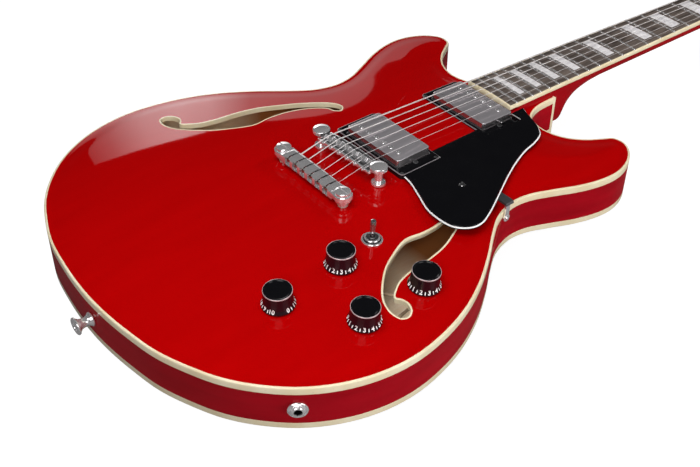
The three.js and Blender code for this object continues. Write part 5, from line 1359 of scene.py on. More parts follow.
# %% Saddles and bridge posts
SADDLE_OFFSETS = (2.2, 1.2, 0, 1, 0.2, -1)
for number, (share, offset, diameter) in enumerate(zip(STRING_SHARES, SADDLE_OFFSETS, DIAMETERS), 1):
    y = share * SPREAD_AT_BRIDGE
    crest = HEIGHT_AT_BRIDGE - crown_drop(y)
    outline_of_wedge = [(-2.8, TROUGH_FLOOR + 0.3), (2.8, TROUGH_FLOOR + 0.3), (2.8, crest - 2.2),
                        (2.0, crest - 1.5), (0.5, crest), (-0.5, crest), (-2.0, crest - 1.5),
                        (-2.8, crest - 2.2)]
    wedge = skinned([[Vector((offset + dx, y + end * 4.8, z)) for dx, z in outline_of_wedge]
                     for end in (-1, 1)])
    softened(wedge, 0.3, 2, 40)
    cut = diameter / 2 + 0.1
    groove = block((offset - 9, y - cut, crest - diameter / 2 - 0.08), (offset + 9, y + cut, crest + 9))
    screw_bore = placed(turned([(1.15, -20), (1.15, 20)], 16), ALONG_X,
                        Matrix.Translation((0, y, SCREW_LEVEL)))
    combined(wedge, groove, screw_bore)
    ready(painted(wedge, chrome), f"saddle_wedge_{number}", f"saddle_{number}", "chrome", f"saddle_{number}",
          bench=BRIDGE)


def milled(radius, low, high, teeth, edge=0.35):
    def ring(scale, z):
        turns = [2 * math.pi * k / (2 * teeth) for k in range(2 * teeth)]
        reach = [radius * scale * (1 if k % 2 else 0.965) for k in range(2 * teeth)]
        return [Vector((r * math.cos(a), r * math.sin(a), z)) for r, a in zip(reach, turns)]
    inside = 1 - edge / radius
    return skinned([ring(inside, low), ring(1, low + edge), ring(1, high - edge), ring(inside, high)])


for name, (x, y) in POSTS.items():
    ground = top_at(x, y)
    shelf = BAR_BOTTOM - 0.3
    wheel = milled(6.3, ground + 0.5, ground + 3.3, 26)
    stem = turned([(2.7, ground - 26), (3.0, ground - 25.6), (3.0, ground + 1)], 28)
    column = turned([(3.4, ground + 3.1), (3.4, shelf - 0.3), (3.1, shelf), (2.2, shelf),
                     (2.2, BAR_BOTTOM + 4.7), (1.9, BAR_BOTTOM + 5)], 36)
    combined(wheel, stem, column, how="UNION")
    piece = placed(wheel, Matrix.Translation((x, y, 0)))
    ready(painted(piece, chrome), f"bridge_stem_{name}", f"bridge_post_{name}", "chrome",
          f"bridge_post_{name}")
print("saddles", len(SADDLE_OFFSETS), "posts", len(POSTS))

# %% [markdown]
# The tailpiece is a rounded bar that hooks over two studs. Each string drops into a slot along its top, and
# the metal ball at its end rests in the pocket behind. Six pockets and slots are cut from the bar together.

# %% Tailpiece
TAIL_TOP, TAIL_WIDTH, TAIL_HEIGHT, TAIL_LENGTH, TAIL_CROWN = 23.4, 15.0, 10.5, 68.0, 900.0
STUD_TOP = TAIL_TOP + 2.6 / 3
EAR_HIGH = STUD_TOP - 2.9
EAR_LOW = EAR_HIGH - 4.6


def string_at_tail(share):
    y = share * SPREAD_AT_BRIDGE
    return y, TAIL_TOP - 3.0 - y * y / (2 * TAIL_CROWN)


def tail_section(y, inset_by=0.0):
    points = []
    half_x, half_z = TAIL_WIDTH / 2 - inset_by, TAIL_HEIGHT / 2 - inset_by
    for step in range(32):
        a = 2 * math.pi * (step + 0.5) / 32
        across = math.copysign(abs(math.cos(a)) ** 0.5, math.cos(a)) * half_x
        up = math.copysign(abs(math.sin(a)) ** 0.5, math.sin(a)) * half_z
        middle = TAIL_TOP - y * y / (2 * TAIL_CROWN) - TAIL_HEIGHT / 2
        points.append(Vector((across - TAIL_TO_BRIDGE, y, middle + up)))
    return points


ends = TAIL_LENGTH / 2
rail = skinned([tail_section(-ends, 0.8), tail_section(0.5 - ends, 0.15), tail_section(1.2 - ends),
                *[tail_section(y) for y in np.linspace(3 - ends, ends - 3, 9)],
                tail_section(ends - 1.2), tail_section(ends - 0.5, 0.15), tail_section(ends, 0.8)])
for x, y in STUDS.values():
    side = math.copysign(1, y)
    disc = turned([(7.6, EAR_LOW), (8.2, EAR_LOW + 0.6), (8.2, EAR_HIGH - 0.6), (7.6, EAR_HIGH)], 40, x, y)
    web = softened(block((x - TAIL_WIDTH / 2, min(y, side * 31.5), EAR_LOW),
                         (x + TAIL_WIDTH / 2, max(y, side * 31.5), EAR_HIGH)), 0.6, 2, 50)
    combined(rail, disc, web, how="UNION")
    mouth = block((x, y - 3.75, 0), (x + 30, y + 3.75, 60))
    combined(rail, turned([(3.75, 0), (3.75, 60)], 32, x, y), mouth)
behind = -TAIL_TO_BRIDGE - TAIL_WIDTH / 2
for share, diameter in zip(STRING_SHARES, DIAMETERS):
    y, z = string_at_tail(share)
    cup = softened(block((behind - 9, y - 3.2, z - 6.5), (behind + 6.5, y + 3.2, z + 1.8)), 0.7, 2, 50)
    lane = turned([(1.5, -1), (1.5, 30)], 20)
    placed(lane, ALONG_X, Matrix.Translation((behind, y, z)))
    slot = block((behind - 9, y - 0.75, z), (behind + 40, y + 0.75, z + 9))
    combined(rail, cup, lane, slot)
string_lines = np.array([string_at_tail(share)[0] for share in STRING_SHARES])


def in_a_pocket(centres, normals):
    beside = np.abs(centres[:, 1, None] - string_lines).min(axis=1)
    return (beside < 2.4) & (normals[:, 2] < 0.5)


# Painted shade: the pockets and slots along each string get the darker chrome.
painted(rail, chrome, shaded_chrome, chooser=in_a_pocket)
ready(rail, "tail_bar", "tailpiece", "chrome", "tailpiece", smooth=40)

ball = turned([(0.9, -1.9), (1.75, -1.4), (1.95, -0.9), (1.95, 0.9), (1.75, 1.4), (0.9, 1.9)], 20)
balls = [placed(twin(ball), ALONG_MINUS_Y, Matrix.Translation((behind + 2.2, y, z)))
         for y, z in map(string_at_tail, STRING_SHARES)]
bpy.data.objects.remove(ball)
ready(painted(gathered(*balls), ball_metal), "ball_ends", "tailpiece", "chrome")

for name, (x, y) in STUDS.items():
    ground = top_at(x, y)
    low = EAR_LOW - 0.3
    stud = turned([(3.6, ground - 24), (4.0, ground - 23.6), (4.0, low - 2.6), (6.4, low - 2.6),
                   (6.8, low - 2.2), (6.8, low - 0.4), (6.4, low), (3.4, low), (3.4, STUD_TOP - 2.6),
                   (6.3, STUD_TOP - 2.6), (6.8, STUD_TOP - 2.2), (6.8, STUD_TOP - 0.9),
                   (6.3, STUD_TOP - 0.3), (5.6, STUD_TOP)], 44)
    combined(stud, block((-0.9, -20, STUD_TOP - 1.2), (0.9, 20, STUD_TOP + 9)))
    ready(painted(placed(stud, Matrix.Translation((x, y, 0))), chrome), f"tail_stud_{name}",
          f"tailpiece_stud_{name}", "chrome", f"tailpiece_stud_{name}")
print("tailpiece, balls 6, studs 2")

# %% [markdown]
# A covered pickup is a plated tray upside down over its coils, with one row of pole screws showing. It hangs
# from a plastic ring by two long screws, one at each end, and springs push it down. The ring's foot is cut to
# the arch of the top.

# %% Pickups and their rings
RING_LENGTH, RING_WIDTH, WINDOW_GAP, SCREW_INSET = 91.0, 46.0, 0.5, 3.4
POLE_OFFSET, POLE_SPREAD, LEG_HOLES = 9.5, 50.0, 75.0


def rounded_box(half_x, half_y, radius, steps=6):
    corners = []
    for cx, cy, start in ((1, 1, 0), (-1, 1, 1), (-1, -1, 2), (1, -1, 3)):
        for step in range(steps + 1):
            a = (start + step / steps) * math.pi / 2
            corners.append((cx * (half_x - radius) + radius * math.cos(a),
                            cy * (half_y - radius) + radius * math.sin(a)))
    return np.array(corners)


def pole_screw(radius, top):
    pole = turned([(radius * 0.8, top - 3), (radius, top - 2.8), (radius, top - 0.35), (radius * 0.86, top)],
                  24)
    return combined(pole, block((-radius * 1.1, -0.28, top - 0.45), (radius * 1.1, 0.28, top + 2)))


def on_a_side(centres, normals):
    """The upright sides of a cover, given a darker chrome as a painted reflection of the dark ring."""
    return np.abs(normals[:, 2]) < 0.3


def on_the_top_edge(centres, normals):
    """The narrow slopes round the top of a pickup ring, given a paler grey as a painted highlight."""
    return (normals[:, 2] > 0.2) & (normals[:, 2] < 0.97) & (centres[:, 2] > -0.75)


for name, place in PICKUPS.items():
    bench = (Matrix.Translation((place["x"], 0, top_at(place["x"], 0) + place["rise"]))
             @ Matrix.Rotation(place["tilt"], 4, "Y"))
    high = place["cover"]
    edge = rounded_box(PICKUP_WIDTH / 2, PICKUP_LENGTH / 2, 3.0)
    shell = skinned([raised(edge, high - 19.6), raised(edge, high - 1.1),
                     raised(inset(edge, 0.1), high - 0.62), raised(inset(edge, 0.35), high - 0.28),
                     raised(inset(edge, 0.8), high - 0.06), raised(inset(edge, 1.3), high)])
    poles_x = place["pole_side"] * POLE_OFFSET
    bores = [turned([(2.5, high - 5), (2.5, high + 5)], 24, poles_x, share * POLE_SPREAD)
             for share in STRING_SHARES]
    combined(shell, *bores)
    tray = softened(block((-19.2, -34.9, high - 20), (19.2, 34.9, high - 18.6)), 0.3, 1)
    leg = softened(block((-6, -39.5, -13), (6, 39.5, -11.4)), 0.5, 2, 50)
    combined(tray, leg, how="UNION")
    combined(tray, *[turned([(1.55, -30), (1.55, 0)], 20, 0, end * LEG_HOLES / 2) for end in (-1, 1)])
    lugs = [placed(softened(block((-4.5, -0.5, -13), (4.5, 0.5, high - 17)), 0.2, 1),
                   Matrix.Translation((0, end * 34.6, 0))) for end in (-1, 1)]
    # Painted reflection: the cover's upright sides get the darker chrome.
    body = painted(gathered(shell, tray, *lugs), cover_plate, shaded_chrome, chooser=on_a_side)
    ready(body, f"pickup_cover_{name}", f"pickup_{name}", "chrome", f"pickup_{name}", bench=bench)
    pole = pole_screw(2.4, high + 0.5)
    poles = [placed(twin(pole), Matrix.Rotation(0.4 + 0.9 * k, 4, "Z"),
                    Matrix.Translation((poles_x, share * POLE_SPREAD, 0)))
             for k, share in enumerate(STRING_SHARES)]
    bpy.data.objects.remove(pole)
    ready(painted(gathered(*poles), chrome), f"pole_screws_{name}", f"pickup_{name}", "chrome", bench=bench)

    outer = rounded_box(RING_WIDTH / 2, RING_LENGTH / 2, 4.0)
    window = rounded_box(PICKUP_WIDTH / 2 + WINDOW_GAP, PICKUP_LENGTH / 2 + WINDOW_GAP, 3.0)

    def foot(loop):
        found = []
        for x, y in loop:
            low = bench @ Vector((x, y, 0))
            found.append(Vector((x, y, top_at(low.x, low.y) + 0.25 - low.z)))
        return found

    walls = skinned([foot(outer), raised(outer, -0.7), raised(inset(outer, 0.2), -0.2),
                     raised(inset(outer, 0.7), 0), raised(inset(window, -0.5), 0),
                     raised(inset(window, -0.1), -0.3), raised(window, -0.7), foot(window)], ends="joined")
    corners = [(sx * (RING_WIDTH / 2 - SCREW_INSET), sy * (RING_LENGTH / 2 - SCREW_INSET))
               for sx in (-1, 1) for sy in (-1, 1)]
    combined(walls, *[turned([(2.0, -1.0), (2.4, 3)], 24, x, y) for x, y in corners])
    # Painted highlight: the slopes round the ring's top edge are a paler grey.
    painted(walls, black_plastic, ring_edge_highlight, chooser=on_the_top_edge)
    ready(walls, f"ring_{name}", "guitar_body", "black_plastic", f"pickup_ring_{name}", bench=bench)
    screw = countersunk(1.95, 0.5, 1.2)
    fixings = [placed(twin(screw), Matrix.Translation((x, y, -0.75))) for x, y in corners]
    bpy.data.objects.remove(screw)
    long_screw = gathered(threaded(1.3, -16, -0.5, 0.8, 12), countersunk(2.4, 0.6, 0.5))
    lifting = [placed(twin(long_screw), Matrix.Translation((0, end * LEG_HOLES / 2, 0.05)))
               for end in (-1, 1)]
    bpy.data.objects.remove(long_screw)
    ready(painted(gathered(*fixings, *lifting), black_metal), f"ring_screws_{name}", "guitar_body",
          "black_metal", bench=bench)
print("pickups", len(PICKUPS))

# %% [markdown]
# The pickguard is sheet plastic in three layers. Its edge is bevelled, which bares the white layer as a fine
# line, so each layer is made a little smaller than the one below. Beside the pickup rings the edge is left
# square, and there the white layer stops short and stays hidden.

# %% Pickguard
GUARD_LENGTH, GUARD_WIDTH, GUARD_START, GUARD_THICKNESS, GUARD_HEIGHT = 180.0, 102.0, 32.0, 2.6, 10.4
GUARD_SHARES = [
    (0.097, 0.133), (0.087, 0.234), (0.047, 0.424), (0.011, 0.593), (0.004, 0.749), (0.014, 0.870),
    (0.043, 0.942), (0.091, 0.993), (0.147, 0.995), (0.221, 0.943), (0.303, 0.867), (0.396, 0.775),
    (0.504, 0.669), (0.616, 0.573), (0.721, 0.502), (0.811, 0.463), (0.883, 0.408), (0.914, 0.350),
    (0.948, 0.233), (0.974, 0.102), (1.000, 0),
]
GUARD_TILT = math.atan2(3.4, GUARD_LENGTH)
GUARD = Matrix.Translation((0, 0, GUARD_HEIGHT)) @ Matrix.Rotation(GUARD_TILT, 4, "Y")

curved = through([(a * GUARD_LENGTH, -GUARD_START - b * GUARD_WIDTH) for a, b in GUARD_SHARES], 120)
guard_loop = np.concatenate([[(curved[0, 0], -GUARD_START)], curved])
LAP = {"bridge": -0.3, "neck": 2.6}     # the guard lies a little over the neck ring's far edge


def guard_layer(low, high, low_in, high_in, round_rings=0.3):
    layer = skinned([raised(inset(guard_loop, low_in), low), raised(inset(guard_loop, high_in), high)])
    windows = [block((p["x"] - RING_WIDTH / 2 - round_rings, -RING_LENGTH / 2 - round_rings, -20),
                     (p["x"] + RING_WIDTH / 2 - LAP[name], RING_LENGTH / 2 + round_rings, 40))
               for name, p in PICKUPS.items()]
    return combined(layer, *windows)


lower_sheet = guard_layer(0, 0.75, 0.02, 0.1)
ready(painted(lower_sheet, black_plastic), "guard_lower_layer", "guitar_body", "black_plastic", "pickguard",
      bench=GUARD)
middle_sheet = guard_layer(0.75, 1.65, 0.1, 1.05, round_rings=0.9)
ready(painted(middle_sheet, white_layer), "guard_white_layer", "guitar_body", "bone", bench=GUARD)
upper_sheet = guard_layer(1.65, GUARD_THICKNESS, 1.05, 1.5)
guard_screw_places = ((48.6, -85.6), (146.0, -36.5))
combined(upper_sheet,
         *[turned([(2.4, GUARD_THICKNESS - 0.9), (3.6, GUARD_THICKNESS + 0.1), (3.6, 9)], 28, x, y)
           for x, y in guard_screw_places])
ready(painted(upper_sheet, black_plastic), "guard_upper_layer", "guitar_body", "black_plastic", bench=GUARD)
screw = countersunk(2.9, 0.9, 0.8)
fixings = gathered(*[placed(twin(screw), Matrix.Translation((x, y, GUARD_THICKNESS - 0.75)))
                     for x, y in guard_screw_places])
bpy.data.objects.remove(screw)


def in_the_cross(centres, normals):
    """The middle of a screw's head round its cross, painted dark as shade."""
    away = [np.hypot(centres[:, 0] - x, centres[:, 1] - y) for x, y in guard_screw_places]
    return np.minimum(*away) < 2.2


# Painted shade: the heads get the darker chrome and their middles the dark metal.
painted(fixings, shaded_chrome, black_metal, chooser=in_the_cross)
ready(fixings, "guard_screws", "guitar_body", "chrome", bench=GUARD)
print("pickguard layers 3")

# %% [markdown]
# A bent bracket under the guard's edge reaches over the side of the body, where a screw holds its foot. The
# bend has a real radius, so its strip is drawn as one section swept along.

# %% Pickguard bracket
BRACKET_X, ARM_WIDTH, ARM_THICKNESS, FOOT_THICKNESS, BRACKET_DROP = 66.0, 9.0, 2.0, 1.6, 19.0
LEG_X, LEG_WIDTH, FOOT_RADIUS = BRACKET_X - 2.2, 4.6, 3.4


def waist_y(x):
    marks = outline[outline[:, 1] < 0]
    order = np.argsort(marks[:, 0])
    return float(np.interp(x, marks[order, 0], marks[order, 1]))


wall_at = min(waist_y(BRACKET_X - 4.5), waist_y(BRACKET_X), waist_y(BRACKET_X + 4.5)) - 0.5
under = GUARD_HEIGHT - BRACKET_X * math.sin(GUARD_TILT) - 0.3 - 2.0 * math.sin(GUARD_TILT) - 0.3
arm_start = 40.0 - GUARD_START - GUARD_WIDTH
outside = [(arm_start, under), (wall_at - FOOT_THICKNESS + 2.2, under),
           (wall_at - FOOT_THICKNESS + 0.9, under - 0.35),
           (wall_at - FOOT_THICKNESS + 0.25, under - 1.1), (wall_at - FOOT_THICKNESS, under - 2.4),
           (wall_at - FOOT_THICKNESS, under - BRACKET_DROP + FOOT_RADIUS),
           (wall_at, under - BRACKET_DROP + FOOT_RADIUS),
           (wall_at, under - ARM_THICKNESS - 0.9), (wall_at + 0.4, under - ARM_THICKNESS - 0.25),
           (wall_at + 1.2, under - ARM_THICKNESS), (arm_start, under - ARM_THICKNESS)]
strap_iron = skinned([[Vector((BRACKET_X + dx, y, z)) for y, z in outside]
                      for dx in (-ARM_WIDTH / 2, ARM_WIDTH / 2)])
for side in (-1, 1):
    beside = LEG_X + side * LEG_WIDTH / 2
    far = LEG_X + side * 20
    combined(strap_iron, block((min(beside, far), wall_at - 9, under - 30),
                               (max(beside, far), wall_at + 9, under - 2.6)))
pad = placed(turned([(FOOT_RADIUS, 0), (FOOT_RADIUS, FOOT_THICKNESS)], 32),
             ALONG_MINUS_Y,
             Matrix.Translation((LEG_X, wall_at, under - BRACKET_DROP + FOOT_RADIUS)))
combined(strap_iron, pad, how="UNION")
softened(strap_iron, 0.25, 2, 60)
# Painted shade: the arm under the guard gets the dark metal, the leg stays chrome.
painted(strap_iron, chrome, black_metal, chooser=lambda centres, normals: centres[:, 2] > under - 2.6)
ready(strap_iron, "guard_bracket", "guitar_body", "chrome", "pickguard_bracket")
foot_screw = placed(countersunk(1.9, 1.4, 0.8), ALONG_MINUS_Y,
                    Matrix.Translation((LEG_X, wall_at - FOOT_THICKNESS, under - BRACKET_DROP + FOOT_RADIUS)))
ready(painted(foot_screw, chrome), "bracket_screw", "guitar_body", "chrome")
print("bracket at", round(wall_at, 1))

# %% [markdown]
# The knobs are bell shaped and moulded in a dark plum plastic. A plain numbered scale runs round the skirt,
# with a short tick between the figures. The numbers are type turned into mesh and bent round the skirt. One
# knob is modelled and copied four times.

# %% Knobs
KNOB_HEIGHT, TOP_RADIUS, WAIST, SKIRT, SKIRT_HEIGHT, KNOB_LIFT = 15.5, 11.4, 11.9, 13.4, 3.2, 0.9

cap = turned([(9.0, 0.0), (SKIRT - 0.25, 0.0), (SKIRT, 0.25), (SKIRT, 1.0), (SKIRT - 0.1, 1.3),
              (WAIST + 0.5, 2.7), (WAIST, SKIRT_HEIGHT + 0.5), (TOP_RADIUS + 0.12, KNOB_HEIGHT - 1.9),
              (TOP_RADIUS, KNOB_HEIGHT - 0.7), (TOP_RADIUS - 0.35, KNOB_HEIGHT - 0.2),
              (TOP_RADIUS - 0.9, KNOB_HEIGHT), (TOP_RADIUS - 1.5, KNOB_HEIGHT - 0.15),
              (TOP_RADIUS - 2.1, KNOB_HEIGHT - 0.75), (5.0, KNOB_HEIGHT - 1.15)], 72)
combined(cap, turned([(8.5, -5), (8.5, 4)], 48), turned([(3.2, -5), (3.2, 12)], 28))
# A painted highlight: a thin pale ring round the knob's top edge, where the cap catches light.
rim_highlight_ring = skinned([circle(TOP_RADIUS + out, KNOB_HEIGHT + up, 72)
                    for out, up in ((0.10, -1.3), (0.14, -0.6), (-0.12, -0.28), (-0.4, -0.3), (-0.4, -1.3))],
                   ends="joined")


def in_the_dish(centres, normals):
    """The shallow dish in the top of a knob, which is plain black."""
    return (centres[:, 2] > KNOB_HEIGHT - 1.3) & (np.hypot(centres[:, 0], centres[:, 1]) < TOP_RADIUS - 0.5)


SKIRT_PROFILE = [(1.0, SKIRT), (1.3, SKIRT - 0.1), (2.7, WAIST + 0.5), (SKIRT_HEIGHT + 0.5, WAIST),
                 (KNOB_HEIGHT - 1.9, TOP_RADIUS + 0.12)]


def on_skirt(piece, turn, middle=2.9, lift=0.12):
    """Bends a flat piece, drawn in x (along the rim) and y (upwards), round the skirt of the knob."""
    for vertex in piece.data.vertices:
        along, up, out = vertex.co
        height = middle + up
        radius = float(np.interp(height, *zip(*SKIRT_PROFILE))) + lift + out
        angle = turn + along / WAIST
        vertex.co = (radius * math.cos(angle), radius * math.sin(angle), height)
    return piece


figures = []
for number in range(11):
    turn = math.radians(-30 + 30 * number) + math.pi / 2
    deselected()
    bpy.ops.object.text_add(location=(0, 0, 0))
    letter = bpy.context.object
    letter.data.body = str(number)
    letter.data.size, letter.data.extrude, letter.data.offset, letter.data.resolution_u = 4.6, 0.04, 0.12, 3
    letter.data.align_x, letter.data.align_y = "CENTER", "CENTER"
    bpy.ops.object.convert(target="MESH")
    figures.append(on_skirt(bpy.context.object, turn))
for number in range(10):
    turn = math.radians(-15 + 30 * number) + math.pi / 2
    figures.append(on_skirt(block((-0.35, -1.5, -0.04), (0.35, 0.7, 0.04)), turn))
scale_marks = gathered(*figures)
pointers = {"neck_tone": 210, "neck_volume": 85, "bridge_volume": 95, "bridge_tone": 80}
for name, bench in knob_benches.items():
    turn = Matrix.Rotation(math.radians(pointers[name]), 4, "Z")
    seat_and_turn = bench @ Matrix.Translation((0, 0, KNOB_LIFT)) @ turn
    body = f"knob_{name}"
    shell = painted(twin(cap), knob_plastic, black_plastic, chooser=in_the_dish)
    ready(shell, f"knob_cap_{name}", body, "knob_plastic", f"knob_{name}", bench=seat_and_turn)
    ready(painted(twin(rim_highlight_ring), rim_highlight_paint), f"knob_rim_{name}", body, "control_metal", bench=seat_and_turn)
    ready(painted(twin(scale_marks), figure_white), f"knob_figures_{name}", body, "bone", bench=seat_and_turn)
for source in (cap, rim_highlight_ring, scale_marks):
    bpy.data.objects.remove(source)
print("knobs", len(knob_benches))

# %% [markdown]
# Under each knob a potentiometer hangs from the top by its threaded neck, washer and nut. The small switch
# has a polished lever with a swollen tip, and stands in a round dress nut. All of it is wired to the jack in
# the side with cloth-covered wire.

# %% Potentiometers, switch, jack and wires
UNDER_TOP = -PLATE - 1.8

can = turned([(11.6, UNDER_TOP - 9), (12, UNDER_TOP - 8.5), (12, UNDER_TOP - 1.4), (11.4, UNDER_TOP - 0.8),
              (11.4, UNDER_TOP)], 44)
neck_thread = threaded(4.4, UNDER_TOP - 0.4, 2.7, 0.7, 28)
washer = turned([(7.0, 0.12), (7.0, 0.55)], 36)
pot_nut = skinned([circle(5.9, 0.55, 6), circle(6.2, 0.8, 6), circle(6.2, 2.3, 6), circle(5.5, 2.6, 6)])
spindle = turned([(3.0, 2.4), (3.0, 10.6), (2.6, 11)], 28)
lug_plate = softened(block((-8, 9.5, UNDER_TOP - 1.6), (8, 15, UNDER_TOP - 0.2)), 0.3, 1)
pot = gathered(can, neck_thread, washer, pot_nut, spindle, lug_plate)
pots = [placed(twin(pot), bench) for bench in knob_benches.values()]
bpy.data.objects.remove(pot)
ready(painted(gathered(*pots), control_metal), "potentiometers", "guitar_body", "control_metal",
      "control_harness")

switch_box = softened(block((-6, -6.5, UNDER_TOP - 10), (6, 6.5, UNDER_TOP)), 0.5, 2)
switch_neck = turned([(3.4, UNDER_TOP - 0.5), (3.4, 3.8), (3.0, 4.2)], 32)
dress_nut = turned([(8.9, 0.3), (8.9, 1.1), (8.5, 1.5), (7.5, 1.5), (7.2, 1.1), (6.6, 1.1), (6.6, 2.9),
                    (6.2, 3.4), (5.2, 3.5), (4.5, 2.6), (3.3, 2.6)], 56)
combined(switch_neck, dress_nut, how="UNION")
combined(switch_neck, turned([(2.0, 1.2), (2.0, 9)], 24))
switch = gathered(switch_box, switch_neck)


def in_the_nut(centres, normals):
    """The groove round the dress nut and the hollow in it, painted dark as shade where the plating sees no
    light.
    """
    reach, z = np.hypot(centres[:, 0], centres[:, 1]), centres[:, 2]
    return ((reach > 6.45) & (reach < 7.5) & (z > 0.9)) | ((reach < 5.2) & (z > 1.0))


painted(switch, chrome, black_metal, chooser=in_the_nut)
ready(switch, "switch_body", "guitar_body", "chrome", bench=toggle_bench)
lever = turned([(1.0, 1.55), (1.1, 1.8), (1.2, 4.4), (1.9, 7.5), (2.3, 12.5), (2.5, 16.0), (2.6, 18.0),
                (2.45, 19.4), (2.0, 20.4), (1.2, 20.9), (0.4, 21)], 32)
# Painted dark reflection: the polished lever gets the darker chrome.
painted(lever, shaded_chrome)
ready(lever, "switch_lever", "toggle_lever", "chrome", "toggle_lever", bench=toggle_bench)

barrel = turned([(4.7, -9.4), (4.7, 3.2), (4.2, 3.6)], 32)
jack_washer = turned([(7.8, 0.3), (7.8, 1.0), (7.4, 1.4), (6.9, 1.4), (6.6, 0.9), (6.0, 0.9)], 48)
hexed = skinned([circle(5.7, 0.8, 6), circle(6.1, 1.1, 6), circle(6.1, 2.6, 6), circle(5.5, 2.9, 6)])
combined(barrel, jack_washer, hexed, how="UNION")
combined(barrel, turned([(3.3, -30), (3.3, 30)], 28))
socket = combined(turned([(7.2, -26), (7.5, -25.7), (7.5, -9.3), (7.2, -9)], 36),
                  turned([(3.3, -21.5), (3.3, 30)], 28))
jack = gathered(barrel, socket)
ready(painted(placed(jack, JACK), chrome), "output_jack", "guitar_body", "chrome")
lining = combined(turned([(3.28, -21), (3.28, 2.9)], 28), turned([(2.7, -20.5), (2.7, 30)], 28))
ready(painted(placed(lining, JACK), black_plastic), "jack_lining", "guitar_body", "black_plastic")
print("controls done")


def tube(points, radius, sides=10):
    """A round tube through points, each ring square to the way on."""
    points = [Vector(point) for point in points]
    rings = []
    across = None
    for k, point in enumerate(points):
        along = (points[min(k + 1, len(points) - 1)] - points[max(k - 1, 0)]).normalized()
        if across is None:
            across = along.orthogonal().normalized()
        across = (across - along * across.dot(along)).normalized()
        rise = along.cross(across)
        rings.append([point + radius * (math.cos(a) * across + math.sin(a) * rise)
                      for a in (2 * math.pi * (s + 0.5) / sides for s in range(sides))])
    return skinned(rings)


WIRE_SAG, WIRE_RADIUS = 9.0, 1.25
stops = [bench @ Vector((0, 0, UNDER_TOP - 4.5)) for bench in knob_benches.values()]
switch_at = toggle_bench @ Vector((0, 0, UNDER_TOP - 5))
jack_at = JACK @ Vector((0, 0, -17.5))
cords = []
for start, end in ((stops[0], stops[1]), (stops[1], stops[2]), (stops[2], stops[3]), (stops[1], switch_at),
                   (stops[3], jack_at)):
    way = [start.lerp(end, t) - Vector((0, 0, WIRE_SAG * math.sin(math.pi * t)))
           for t in np.linspace(0, 1, 15)]
    cords.append(tube(way, WIRE_RADIUS))
ready(painted(gathered(*cords), wire_cloth), "wires", "guitar_body", "black_plastic", smooth=60)
print("wires", len(cords))

# %% [markdown]
# Strap buttons are turned and plated, with a screw whose cross-slotted head sits in the top. One is modelled,
# and one twin goes to the butt and one to the heel.

# %% Strap buttons
button = turned([(5.6, 0.3), (6.0, 0.6), (6.0, 1.5), (5.4, 2.2), (4.4, 3.6), (4.0, 5.2), (4.0, 8.6),
                 (4.5, 10.6), (6.2, 12.6), (7.2, 13.2), (7.5, 13.8), (7.5, 14.4), (7.1, 14.85),
                 (6.2, 15)], 48)
combined(button, turned([(3.0, 13.8), (4.4, 20)], 32))
screw = countersunk(3.6, 0.9, 0.7, 28)
placed(screw, Matrix.Translation((0, 0, 13.9)))
shank = threaded(1.95, -23.5, 1.0, 1.3, 16)
whole_button = gathered(button, screw, shank)
butt_place = Matrix.Translation((-BUTT_TO_BRIDGE, 0, -RIM_DEPTH / 2)) @ ALONG_MINUS_X
heel_place = NECK @ Matrix.Translation((HEEL_START + 8.5, 0, -HEEL_DEPTH)) @ Matrix.Rotation(math.pi, 4, "X")
for name, place in (("butt", butt_place), ("heel", heel_place)):
    ready(painted(twin(whole_button), chrome), f"strap_peg_{name}", "guitar_body", "chrome",
          f"strap_button_{name}", bench=place)
bpy.data.objects.remove(whole_button)
print("strap buttons 2")

# %% [markdown]
# Six strings, three plain and three wound. Each runs from the ball through the tailpiece, over its saddle and
# the nut, and winds on its post a little over twice. The winding is a helix with the slack a player leaves. A
# string is drawn in three stretches: in and before the tailpiece, up to the saddle, and on to the post.

# %% Strings
WINDING_TURNS, WINDING_STEPS = 2.25, 20
WOUND_FROM = (DIAMETERS[2] + DIAMETERS[3]) / 4
BALL_SEAT_X, BAR_FRONT_X = -51.7, TAIL_WIDTH / 2 - TAIL_TO_BRIDGE


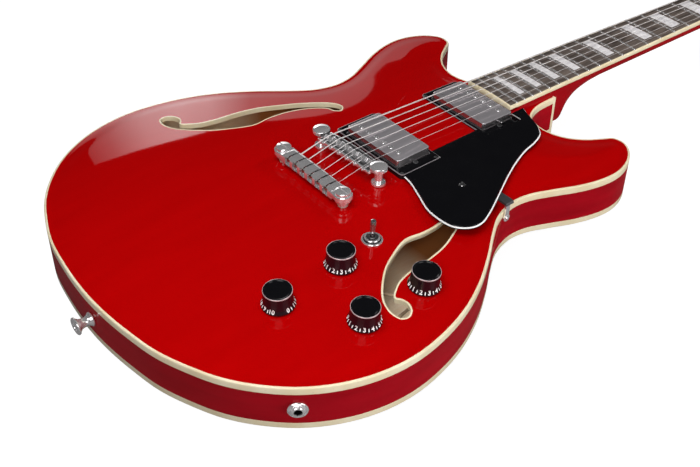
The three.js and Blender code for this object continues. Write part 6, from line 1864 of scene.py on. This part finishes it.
def strung(way, radius, name, start, end, lifted_by, *nodes):
    """A stretch of string, drawn as a tube through its way. Its start, end and lifted_by are not used."""
    wire = tube(way, radius, 12)
    painted(wire, plain_steel if radius < WOUND_FROM else wound_steel)
    wire.name = wire.data.name = name
    placed(wire, INTO_ROW)
    only(wire)
    bpy.ops.object.shade_smooth_by_angle(angle=math.radians(60))
    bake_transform(wire)
    if nodes:
        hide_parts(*nodes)


for number, (share, diameter, offset) in enumerate(zip(STRING_SHARES, DIAMETERS, SADDLE_OFFSETS), 1):
    radius = diameter / 2
    y, z = string_at_tail(share)
    crest = BRIDGE @ Vector((offset, share * SPREAD_AT_BRIDGE,
                             HEIGHT_AT_BRIDGE - crown_drop(share * SPREAD_AT_BRIDGE)))
    y_nut = share * SPREAD_AT_NUT
    at_nut = NECK @ Vector((BOARD_LENGTH + NUT_THICKNESS + 0.3, y_nut, HEIGHT_AT_NUT - crown_drop(y_nut)))
    side, post_x, post_y = tuner_place(number)
    around = WAIST_RADIUS + radius + 0.2
    level = WAIST_START + radius + 0.65
    count = int(WINDING_TURNS * WINDING_STEPS)
    coil = []
    for step in range(count + 1):
        a = -side * math.pi / 2 + side * 2 * math.pi * step / WINDING_STEPS
        coil.append(HEAD @ Vector((post_x + around * math.cos(a), post_y + around * math.sin(a),
                                   level + (diameter + 0.5) * step / WINDING_STEPS)))
    tail_start, tail_end = Vector((BALL_SEAT_X, y, z)), Vector((BAR_FRONT_X, y, z))
    halfway, past_crest = tail_end.lerp(crest, 0.5), crest.lerp(at_nut, 0.001)
    held = [tail_start, tail_end, *[tail_end.lerp(halfway, t) for t in (0.2, 0.4, 0.6, 0.8)], halfway]
    strung(held, radius, f"string_end_{number}", halfway, tail_end, "tailpiece")
    climbing = [*[halfway.lerp(crest, t) for t in (0, 0.2, 0.4, 0.6, 0.8)], crest, past_crest]
    strung(climbing, radius, f"string_climb_{number}", halfway, crest, "bridge")
    spoken = [crest, *[crest.lerp(at_nut, t) for t in (0.1, 0.25, 0.4, 0.5, 0.6, 0.75, 0.9)], at_nut, *coil]
    strung(spoken, radius, f"string_wire_{number}", at_nut, crest, "bridge", f"string_{number}")
print("strings", len(DIAMETERS))

low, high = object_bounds()
